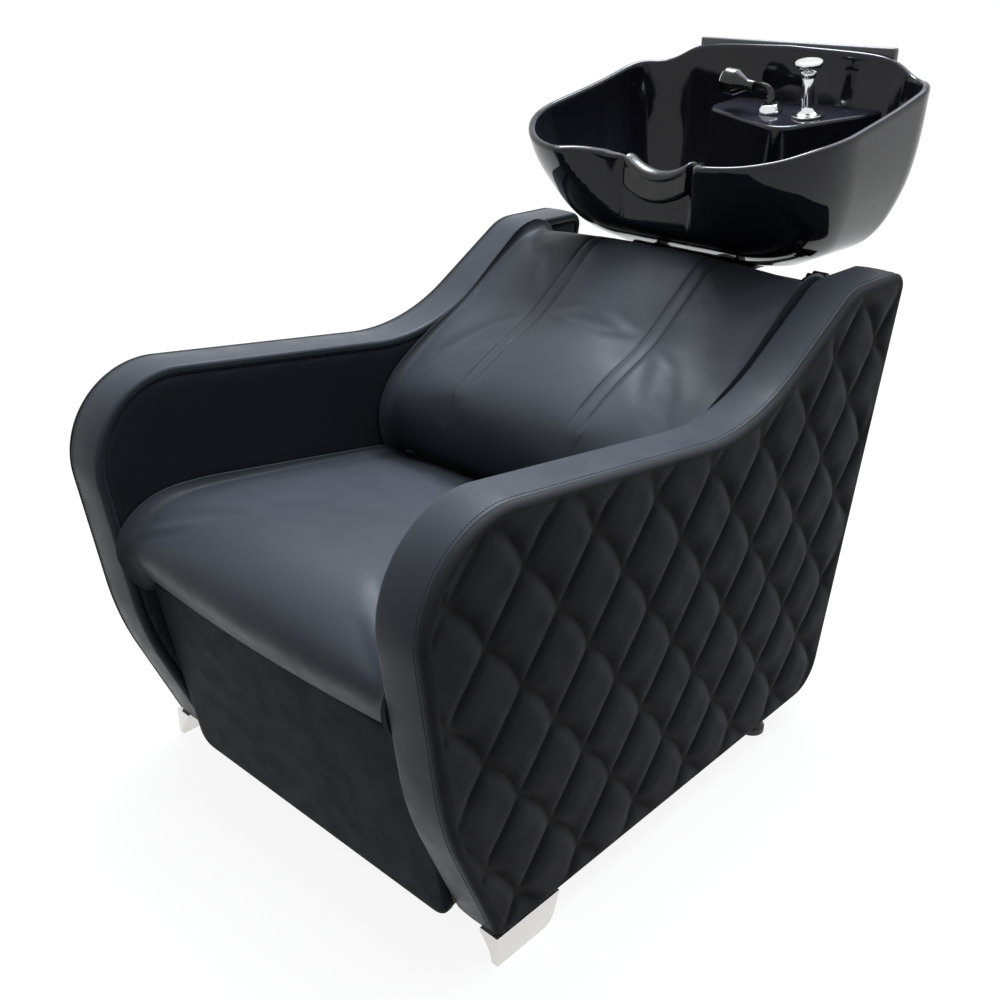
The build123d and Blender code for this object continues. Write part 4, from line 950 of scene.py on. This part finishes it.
def make_back():
    seams = [side * CHANNEL_X + row * CHANNEL_HALF for side in (-1, 1) for row in (-1, 1)]
    back = make_cushion("back_cover", BACK_LINE, BACK_START, BACK_TILT, BACK_LENGTH, BACK_THICK, BACK_CROWN,
                        0, 150, seams, BACK_SLIM)
    places = [x * (1 - BACK_SLIM / CUSHION_HALF) for x in seams]

    def sunk(co):
        """How much a spot belongs to a seam, and how far it is from one."""
        along, out = to_plane(co, BACK_START, BACK_TILT)
        away = np.min([np.abs(co[:, 0] - x) for x in places], axis=0)
        fade = np.clip((along - CHANNEL_LOW) / 40, 0, 1) * np.clip((CHANNEL_HIGH - along) / 12, 0, 1)
        fade *= out > 25
        return away, fade

    def held(co):
        along, out = to_plane(co, BACK_START, BACK_TILT)
        away, fade = sunk(co)
        seam = (away < HELD_SEAM) & (fade > 0.2)
        side = (np.abs(co[:, 0]) - HELD_SIDE) / HELD_FADE
        return np.clip(np.maximum.reduce([1 - out / HELD_BACK, side, seam]), 0, 1)

    co = co_of(back) / MM
    away, fade = sunk(co)
    drop = CHANNEL_DROP * np.exp(-((away / CHANNEL_WIDTH) ** 2)) * fade
    set_co(back, (co - normals_of(back) * drop[:, None]) * MM)
    inflate(back, looks().back_swell / MM, held)
    subdivide(back)
    finish_piece(back, "chair", "seat_leather", ["back_cushion"])
    co = co_of(back) / MM
    along, out = to_plane(co, BACK_START, BACK_TILT)
    for number, x in enumerate(places):
        thread_x = x + (CHANNEL_TO_THREAD if number % 2 else -CHANNEL_TO_THREAD)
        near = np.abs(co[:, 0] - thread_x) < 2.2
        near &= (out > 40) & (along > CHANNEL_LOW + 12) & (along < CHANNEL_HIGH - 14)
        order = np.argsort(along[near])
        bins = np.linspace(0, len(order) - 1, 70).astype(int)
        line = co[near][order][bins]
        line[:, 0] = thread_x
        normal = normals_of(back)[near][order][bins]
        stitch_row(f"back_stitches_{number + 1}", smooth_rows(line), smooth_rows(normal), "inner_leather")
    return back


def smooth_rows(line, times=4):
    line = np.array(line, float)
    for _ in range(times):
        line[1:-1] = (line[:-2] + 2 * line[1:-1] + line[2:]) / 4
    return line


def make_kick():
    corners = [(-KICK_HALF, 0), (KICK_HALF, 0), (KICK_HALF, KICK_HEIGHT), (-KICK_HALF, KICK_HEIGHT)]
    outer = rounded(corners, KICK_RADII)
    inner = rounded(corners, KICK_RADII, KICK_EDGE)

    def surface(spots, distance):
        return KICK_THICK + 1.2 * np.clip(distance / 60, 0, 1) - 0.6

    def place(spots, height):
        along, out = spots[:, 1], height - KICK_THICK
        return np.column_stack([
            spots[:, 0],
            KICK_START[0] - along * sin(KICK_LEAN) - out * cos(KICK_LEAN),
            KICK_START[1] + along * cos(KICK_LEAN) - out * sin(KICK_LEAN),
        ])

    start = KICK_THICK - KICK_EDGE - 0.6
    edge = [(sin(radians(t)), start + KICK_EDGE * cos(radians(t))) for t in range(15, 91, 15)]
    pad = pad_piece("kick_cover", inner, outer, 8, surface, edge + [(1, 0), (0, 0)], place)
    finish_piece(pad, "chair", "seat_leather", ["kick_pad"])
    pad.data.materials[0] = finish_of("kick_leather")


# Basin


def bowl_row(height):
    """Half width, front, rear and corner radii of the bowl's outline at a share of its height."""
    table = np.array(BOWL_SECTIONS)
    found = []
    for column in range(1, 6):
        found.append(height_of([(h, v) for h, v in zip(table[:, 0], table[:, column])], height))
    return found


def soft_max(a, b, width):
    h = np.clip(0.5 + (a - b) / (2 * width), 0, 1)
    return b + (a - b) * h + width * h * (1 - h)


def scoop_line(x, grow):
    """Y of the neck scoop's wall across the bowl, moved rearwards by the wall."""
    x = np.abs(x)
    slope = (NECK_Y - (BOWL_REAR - BOWL_LENGTH)) / (NECK_MOUTH - NECK_HALF)
    side = NECK_Y + grow - (x - NECK_HALF - grow) * slope
    flat = NECK_Y + grow
    return -soft_max(-side, np.full_like(x, -flat), 12)


def bowl_ring(row, inset, marks):
    """The bowl's outline at one level, its points at fixed shares of each straight and each arc."""
    half, front, rear, front_r, rear_r = row
    half = half * BOWL_HALF - inset
    front = BOWL_REAR - front * BOWL_LENGTH + inset
    rear = BOWL_REAR - rear * BOWL_LENGTH - inset
    fr = front_r * BOWL_HALF - inset
    rr = rear_r * BOWL_HALF - inset
    arcs = [((half - fr, front + fr), fr, -90), ((half - rr, rear - rr), rr, 0),
            ((-half + rr, rear - rr), rr, 90), ((-half + fr, front + fr), fr, 180)]

    def on_arc(number, share):
        (x, y), radius, start = arcs[number]
        angle = radians(start + 90 * share)
        return np.array((x + radius * cos(angle), y + radius * sin(angle)))

    points = []
    for part, share in marks:
        corner = part // 2
        if part % 2 == 1:
            points.append(on_arc(corner, share))
        else:
            a, b = on_arc(corner - 1, 1), on_arc(corner, 0)
            points.append(a + (b - a) * share)
    return np.array(points)


def rim_height(x, y):
    """Height of the rim above a place in plan."""

    def wall(line, spot, start, way):
        """Height of one of the rim's lines, its places counted from a start."""
        return height_of([(start + s * way, BOWL_BASE + z * BOWL_HEIGHT) for s, z in line], spot)

    side = wall(RIM_LINE, y, BOWL_REAR, -BOWL_LENGTH)
    rear = wall(REAR_RIM, np.abs(x), 0, BOWL_HALF)
    side = np.where(y > BOWL_REAR - RIM_END * BOWL_LENGTH, BOWL_BASE + 2 * BOWL_HEIGHT, side)
    front = -soft_max(-side, -rear, 6)
    lip = wall(LIP_LINE, y, BOWL_REAR, -BOWL_LENGTH)
    saddle = SADDLE_Z + SADDLE_RISE * (x / NECK_HALF) ** 2
    lip = np.where(np.abs(x) < NECK_HALF + 14, -soft_max(-lip, -saddle, 6), lip)
    scoop = scoop_line(x, 0)
    belongs = np.clip((LIP_REACH - np.abs(y - scoop)) / LIP_FADE, 0, 1)
    belongs *= (np.abs(x) < NECK_MOUTH) & (y < NECK_Y + 60)
    return front + (np.minimum(lip, front) - front) * belongs


def bowl_rows():
    """The bowl's closed skin by rows: up the outside, over the rim, down the inside, through the drain."""
    marks = []
    for part, steps in enumerate(BOWL_MARKS):
        marks += [(part, step / steps) for step in range(steps)]
    levels = np.linspace(0, 1, 45)
    outer_rings = np.array([bowl_ring(bowl_row(level), 0, marks) for level in levels])
    inner_rings = np.array([bowl_ring(bowl_row(level), BOWL_WALL, marks) for level in levels])
    for rings, grow in ((outer_rings, 0), (inner_rings, BOWL_WALL)):
        x = rings[..., 0]
        front = (rings[..., 1] < 400) & (np.abs(x) < NECK_MOUTH + 40)
        scooped = soft_max(rings[..., 1], scoop_line(x, grow), 7)
        rings[..., 1] = np.where(front, scooped, rings[..., 1])
    heights = BOWL_BASE + levels * BOWL_HEIGHT
    count = len(marks)

    def at_height(rings, z):
        """Each column's plan place at its own height."""
        return np.array([[np.interp(z[column], heights, rings[:, column, axis]) for axis in range(2)]
                         for column in range(count)])

    z_rim = np.full(count, float(RIM_GUESS))
    for _ in range(14):
        spots = at_height(outer_rings, z_rim)
        z_rim = 0.5 * z_rim + 0.5 * rim_height(spots[:, 0], spots[:, 1])
    for _ in range(2):
        z_rim = (np.roll(z_rim, 1) + 2 * z_rim + np.roll(z_rim, -1)) / 4
    lip = BOWL_WALL / 2
    rows = []
    for step in range(BOWL_STEPS + 1):
        z = BOWL_BASE + (z_rim - lip - BOWL_BASE) * step / BOWL_STEPS
        rows.append(np.column_stack([at_height(outer_rings, z), z]))
    inner_top = np.column_stack([at_height(inner_rings, z_rim - lip), z_rim - lip])
    centre = (rows[-1] + inner_top) / 2
    reach = (rows[-1] - inner_top) / 2
    for turn in range(15, 166, 15):
        angle = radians(turn)
        rows.append(centre + reach * cos(angle) + np.array([0, 0, lip * RIM_SWELL * sin(angle)]))
    inside = []
    for step in range(BOWL_STEPS + 1):
        z = z_rim - lip + (BOWL_FLOOR - z_rim + lip) * step / BOWL_STEPS
        inside.append(np.column_stack([at_height(inner_rings, z), z]))
    bottom = inside[-1]
    angle = np.arctan2(bottom[:, 1] - DRAIN_Y, bottom[:, 0])
    hole = np.column_stack([DRAIN_R * np.cos(angle), DRAIN_Y + DRAIN_R * np.sin(angle)])
    hole_top = np.column_stack([hole, np.full(count, BOWL_FLOOR)])
    for step in range(1, DRAIN_STEPS + 1):
        inside.append(bottom + (hole_top - bottom) * step / DRAIN_STEPS)
    # The wall turns softly into the floor
    inside = np.array(inside)
    for _ in range(26):
        part = inside[BOWL_STEPS - 9 : BOWL_STEPS + 8]
        inside[BOWL_STEPS - 8 : BOWL_STEPS + 7] = (part[:-2] + 2 * part[1:-1] + part[2:]) / 4
    rows.extend(inside)
    hole_low = np.column_stack([hole, np.full(count, BOWL_BASE)])
    rows.extend(hole_low + (rows[0] - hole_low) * step / 8 for step in range(9))
    return np.array(rows)


def make_bowl():
    bowl = grid_piece("bowl_shell", bowl_rows(), ring=True)
    low, high = (np.array(corner) * MM for corner in HOSE_SLOT)
    deselect()
    bpy.ops.mesh.primitive_cube_add(size=1, location=(low + high) / 2, scale=high - low)
    cutter = bpy.context.active_object
    slot = bowl.modifiers.new("Hose slot", "BOOLEAN")
    slot.operation = "DIFFERENCE"
    slot.object = cutter
    apply_modifiers(bowl)
    activate(cutter)
    bpy.ops.object.delete()
    return finish_piece(bowl, "bowl", "black_glaze", ["basin", "basin_floor"], angle=radians(60))


def neck_rest_ring():
    """The saddle's section: out from the neck's wall and up from its crest, round the roll and the skirt."""
    low = REST_SKIRT * REST_INNER
    ring = [(-REST_THICK + REST_BOW * (step / 7) ** 2, -REST_SKIRT * (1 - step / 7)) for step in range(7)]
    for turn in range(0, 181, 12):
        angle = radians(turn)
        ring.append((-cos(angle) * REST_THICK, REST_RISE * sin(angle)))
    ring += [(REST_THICK - REST_BOW * (step / 7) ** 2, -low * step / 7) for step in range(1, 8)]
    ring += [(11, -low - 3), (7.5, -low), (7.0, -10), (6.6, -0.5), (-6.6, -0.5), (-7.0, -10),
             (-7.5, -REST_SKIRT), (-12, -REST_SKIRT - 3.5)]
    return np.array(ring)


def make_neck_rest():
    """A gel saddle: a thick roll over the neck's wall that thins towards its skirt and its ends."""
    ring = neck_rest_ring()
    columns = []
    for step in range(0, 41):
        share = -1 + 2 * step / 40
        x = share * REST_HALF
        y, ahead = (float(scoop_line(np.array([x + on]), 0)[0]) + BOWL_WALL / 2 for on in (0, 0.5))
        way = np.array([0.5, ahead - y])
        way /= np.linalg.norm(way)
        normal = np.array([-way[1], way[0]])
        crest = SADDLE_Z + SADDLE_RISE * (x / NECK_HALF) ** 2
        thin = max(0.0, (abs(share) - REST_TAPER) / (1 - REST_TAPER))
        swell = sqrt(max(0.0, 1 - thin**2)) * 0.75 + 0.25
        row = []
        for across, up in ring:
            reach = across if abs(across) < 8 and up < 0 else across * (0.62 + 0.38 * swell)
            spot = np.array([x, y]) + normal * reach
            row.append((spot[0], spot[1], crest + (up if up < 0 else up * swell)))
        columns.append(row)
    table = np.array(columns)
    ends = [np.repeat(row.mean(axis=0)[None], len(ring), axis=0)[None] for row in (table[0], table[-1])]
    rest = grid_piece("neck_saddle", np.concatenate([ends[0], table, ends[1]]), ring=True)
    subdivide(rest)
    return finish_piece(rest, "neck_pad", "gel", ["neck_rest"])


# Rigid CAD pieces


def dress(node, bevel, segments=2):
    """A merged copy of a CAD piece with its hard edges broken."""
    source = frame["nodes"][node]
    piece = source.copy()
    piece.data = source.data.copy()
    piece.parent = None
    piece.name = piece.data.name = node + "_finished"
    for key in list(piece.keys()):
        del piece[key]
    bpy.context.scene.collection.objects.link(piece)
    clean(piece, 0.01 * MM)
    activate(piece)
    bpy.ops.object.mode_set(mode="EDIT")
    bpy.ops.mesh.select_all(action="SELECT")
    bpy.ops.mesh.dissolve_limited(angle_limit=radians(0.5))
    bpy.ops.object.mode_set(mode="OBJECT")
    edge = piece.modifiers.new("Broken edges", "BEVEL")
    edge.width = bevel * MM
    edge.segments = segments
    edge.limit_method = "ANGLE"
    edge.angle_limit = radians(35)
    edge.use_clamp_overlap = True
    apply_modifiers(piece)
    return finish_piece(piece, BODY_OF[node], SLOT_OF[node], [node], angle=radians(40))


# Stage


def seen_white(tree):
    """1 for the rays that should meet white: the camera's, mirrored ones and those through glass."""
    path = tree.nodes.new("ShaderNodeLightPath")
    mirrored = maths(tree, "MAXIMUM", path.outputs["Is Glossy Ray"], path.outputs["Is Transmission Ray"])
    return maths(tree, "MAXIMUM", path.outputs["Is Camera Ray"], mirrored)


def make_floor():
    deselect()
    bpy.ops.mesh.primitive_plane_add(size=looks().floor_size)
    floor = bpy.context.active_object
    floor.name = "floor"
    material, tree, shader, coords = new_material("floor")
    shader.inputs["Roughness"].default_value = 0.9
    shader.inputs["Specular IOR Level"].default_value = 0.0
    mottle = noise(tree, coords, 2, 2)
    vary(tree, shader, "Base Color", mottle, *FLOOR_GREYS)
    shader.inputs["Emission Color"].default_value = (1, 1, 1, 1)
    tree.links.new(maths(tree, "MULTIPLY", seen_white(tree), FLOOR_GLOW), shader.inputs["Emission Strength"])
    floor.data.materials.append(material)


def make_surroundings(scene):
    """A white backdrop that lights the chair only from above."""
    scene.world = bpy.data.worlds.new("studio")
    scene.world.use_nodes = True
    tree = scene.world.node_tree
    back = tree.nodes["Background"]
    sky = tree.nodes.new("ShaderNodeTexCoord")
    split = tree.nodes.new("ShaderNodeSeparateXYZ")
    tree.links.new(sky.outputs["Generated"], split.inputs[0])
    high = maths(tree, "POWER", maths(tree, "MAXIMUM", split.outputs[2], 0), 4)
    ceiling = maths(tree, "MULTIPLY", high, looks().ceiling_power)
    tree.links.new(maths(tree, "MAXIMUM", seen_white(tree), ceiling), back.inputs["Strength"])
    back.inputs["Color"].default_value = (1, 1, 1, 1)


def make_lights():
    for name, kind, power, place, way in (
        ("overhead", "SUN", looks().key_power, (0, 0.4, 3), Vector(SUN_WAY)),
        ("window", "AREA", looks().window_power, WINDOW_PLACE, Vector(WINDOW_AIM) - Vector(WINDOW_PLACE)),
    ):
        lamp = bpy.data.lights.new(name, kind)
        lamp.energy = power
        lamp.color = LIGHT_COLOUR
        if kind == "SUN":
            lamp.angle = SUN_SPREAD
        else:
            lamp.size = WINDOW_SIZE
        lit = bpy.data.objects.new(name, lamp)
        bpy.context.scene.collection.objects.link(lit)
        lit.location = place
        lit.rotation_euler = way.to_track_quat("-Z", "Y").to_euler()


def make_camera(scene):
    camera = bpy.data.cameras.new("photo_view")
    camera.lens = CAMERA_LENS
    camera.sensor_width = CAMERA_SENSOR
    seat = bpy.data.objects.new("photo_view", camera)
    scene.collection.objects.link(seat)
    flat = cos(CAMERA_PITCH)
    ahead = Vector((-sin(CAMERA_YAW) * flat, cos(CAMERA_YAW) * flat, -sin(CAMERA_PITCH)))
    right = Vector((cos(CAMERA_YAW), sin(CAMERA_YAW), 0))
    up = right.cross(ahead)
    x_axis = right * cos(CAMERA_ROLL) + up * sin(CAMERA_ROLL)
    y_axis = up * cos(CAMERA_ROLL) - right * sin(CAMERA_ROLL)
    turn = Matrix((x_axis, y_axis, -ahead)).transposed().to_4x4()
    seat.matrix_world = Matrix.Translation(CAMERA_PLACE) @ turn
    scene.camera = seat


# Settings, steps and panel


def colour(name, description, default):
    return FloatVectorProperty(name=name, description=description, subtype="COLOR", size=3, min=0, max=1,
                               default=default)


def distance(name, description, default):
    return FloatProperty(name=name, description=description, subtype="DISTANCE", unit="LENGTH",
                         min=0.0001, default=default)


class WashLooks(PropertyGroup):
    """Sizes and colours of the finish that a user would change."""

    seat_colour: colour(
        "Seat leather", "Colour of the seat, back and kick panel", (0.054, 0.061, 0.074))
    band_colour: colour("Band leather", "Colour of the bands round the arms", (0.052, 0.059, 0.072))
    # Painted shade: the same leather as the seat, made darker for the shade on the arms' inner faces; the
    # back's threads share it
    shaded_inner_colour: colour("Lining leather", "Colour of the arms' inner faces", (0.025, 0.028, 0.036))
    # Painted shade: the same leather as the seat, made darker and greyer for the shade on the arms' outer
    # faces
    shaded_quilt_colour: colour("Quilted leather", "Colour of the quilted outer faces", (0.040, 0.040, 0.044))
    glaze_colour: colour("Glaze", "Colour of the basin's glaze", (0.014, 0.014, 0.021))
    chrome_colour: colour("Chrome", "Colour of the taps", (0.78, 0.79, 0.81))
    steel_colour: colour("Polished steel", "Colour of the front feet", (0.72, 0.71, 0.69))
    quilt_depth: distance("Quilting depth", "Depth of the arms' sewn grooves", 0.0085)
    seat_swell: distance("Seat swell", "How far the seat's cover swells at most", 0.007)
    back_swell: distance("Back swell", "How far the back's cover swells at most", 0.008)
    floor_size: distance("Floor size", "Side of the floor", 14.0)
    key_power: FloatProperty(
        name="Overhead light", description="Strength of the wide light overhead", default=2.5, min=0)
    ceiling_power: FloatProperty(
        name="Ceiling glow", description="Strength of the soft light from straight above",
        default=1.25, min=0)
    window_power: FloatProperty(
        name="Window light", description="Power of the square light above and behind, in watts",
        default=40.0, min=0)


class WASH_OT_stage(Operator):
    """Floor, lights and camera"""

    bl_idname = "wash.stage"
    bl_label = "Stage"

    def execute(self, context):
        context.scene.view_settings.view_transform = "Standard"
        make_floor()
        make_surroundings(context.scene)
        make_lights()
        make_camera(context.scene)
        return {"FINISHED"}


class WASH_OT_arms(Operator):
    """Bands, quilted outer faces and lined inner faces of both arms"""

    bl_idname = "wash.arms"
    bl_label = "Arms"

    def execute(self, context):
        for side, hand in ((1, "left"), (-1, "right")):
            make_band(side, hand)
            make_quilt(side, hand)
            make_inner_pad(side, hand)
        return {"FINISHED"}


class WASH_OT_cushions(Operator):
    """Seat, back and kick panel covers"""

    bl_idname = "wash.cushions"
    bl_label = "Cushions"

    def execute(self, context):
        make_seat()
        make_back()
        make_kick()
        return {"FINISHED"}


class WASH_OT_basin(Operator):
    """Glazed bowl, tap deck and neck rest"""

    bl_idname = "wash.basin"
    bl_label = "Basin"

    def execute(self, context):
        make_bowl()
        dress("faucet_deck", DECK_EDGE)
        make_neck_rest()
        return {"FINISHED"}


class WASH_OT_hardware(Operator):
    """Feet, taps and everything else that keeps its CAD shape"""

    bl_idname = "wash.hardware"
    bl_label = "Hardware"

    def execute(self, context):
        for node, finish in SLOT_OF.items():
            piece = frame["nodes"][node]
            piece.data.materials.clear()
            piece.data.materials.append(finish_of(finish))
        for node, bevel in BROKEN_EDGES.items():
            dress(node, bevel)
        return {"FINISHED"}


class WASH_PT_panel(Panel):
    """Lists the steps that dress the chair"""

    bl_idname = "WASH_PT_panel"
    bl_label = "Wash Chair"
    bl_space_type = "VIEW_3D"
    bl_region_type = "UI"
    bl_category = "Wash Chair"

    def draw(self, context):
        layout = self.layout
        for name in WashLooks.__annotations__:
            layout.prop(context.scene.wash_looks, name)
        for step in STEPS:
            layout.operator(step.bl_idname)


STEPS = (WASH_OT_stage, WASH_OT_arms, WASH_OT_cushions, WASH_OT_basin, WASH_OT_hardware)
CLASSES = (WashLooks, *STEPS, WASH_PT_panel)


def register():
    for cls in CLASSES:
        bpy.utils.register_class(cls)
    bpy.types.Scene.wash_looks = PointerProperty(type=WashLooks)


def unregister():
    del bpy.types.Scene.wash_looks
    for cls in reversed(CLASSES):
        bpy.utils.unregister_class(cls)


def main():
    register()
    bpy.ops.wash.stage()
    bpy.ops.wash.arms()
    bpy.ops.wash.cushions()
    bpy.ops.wash.basin()
    bpy.ops.wash.hardware()


if __name__ == "__main__":
    main()
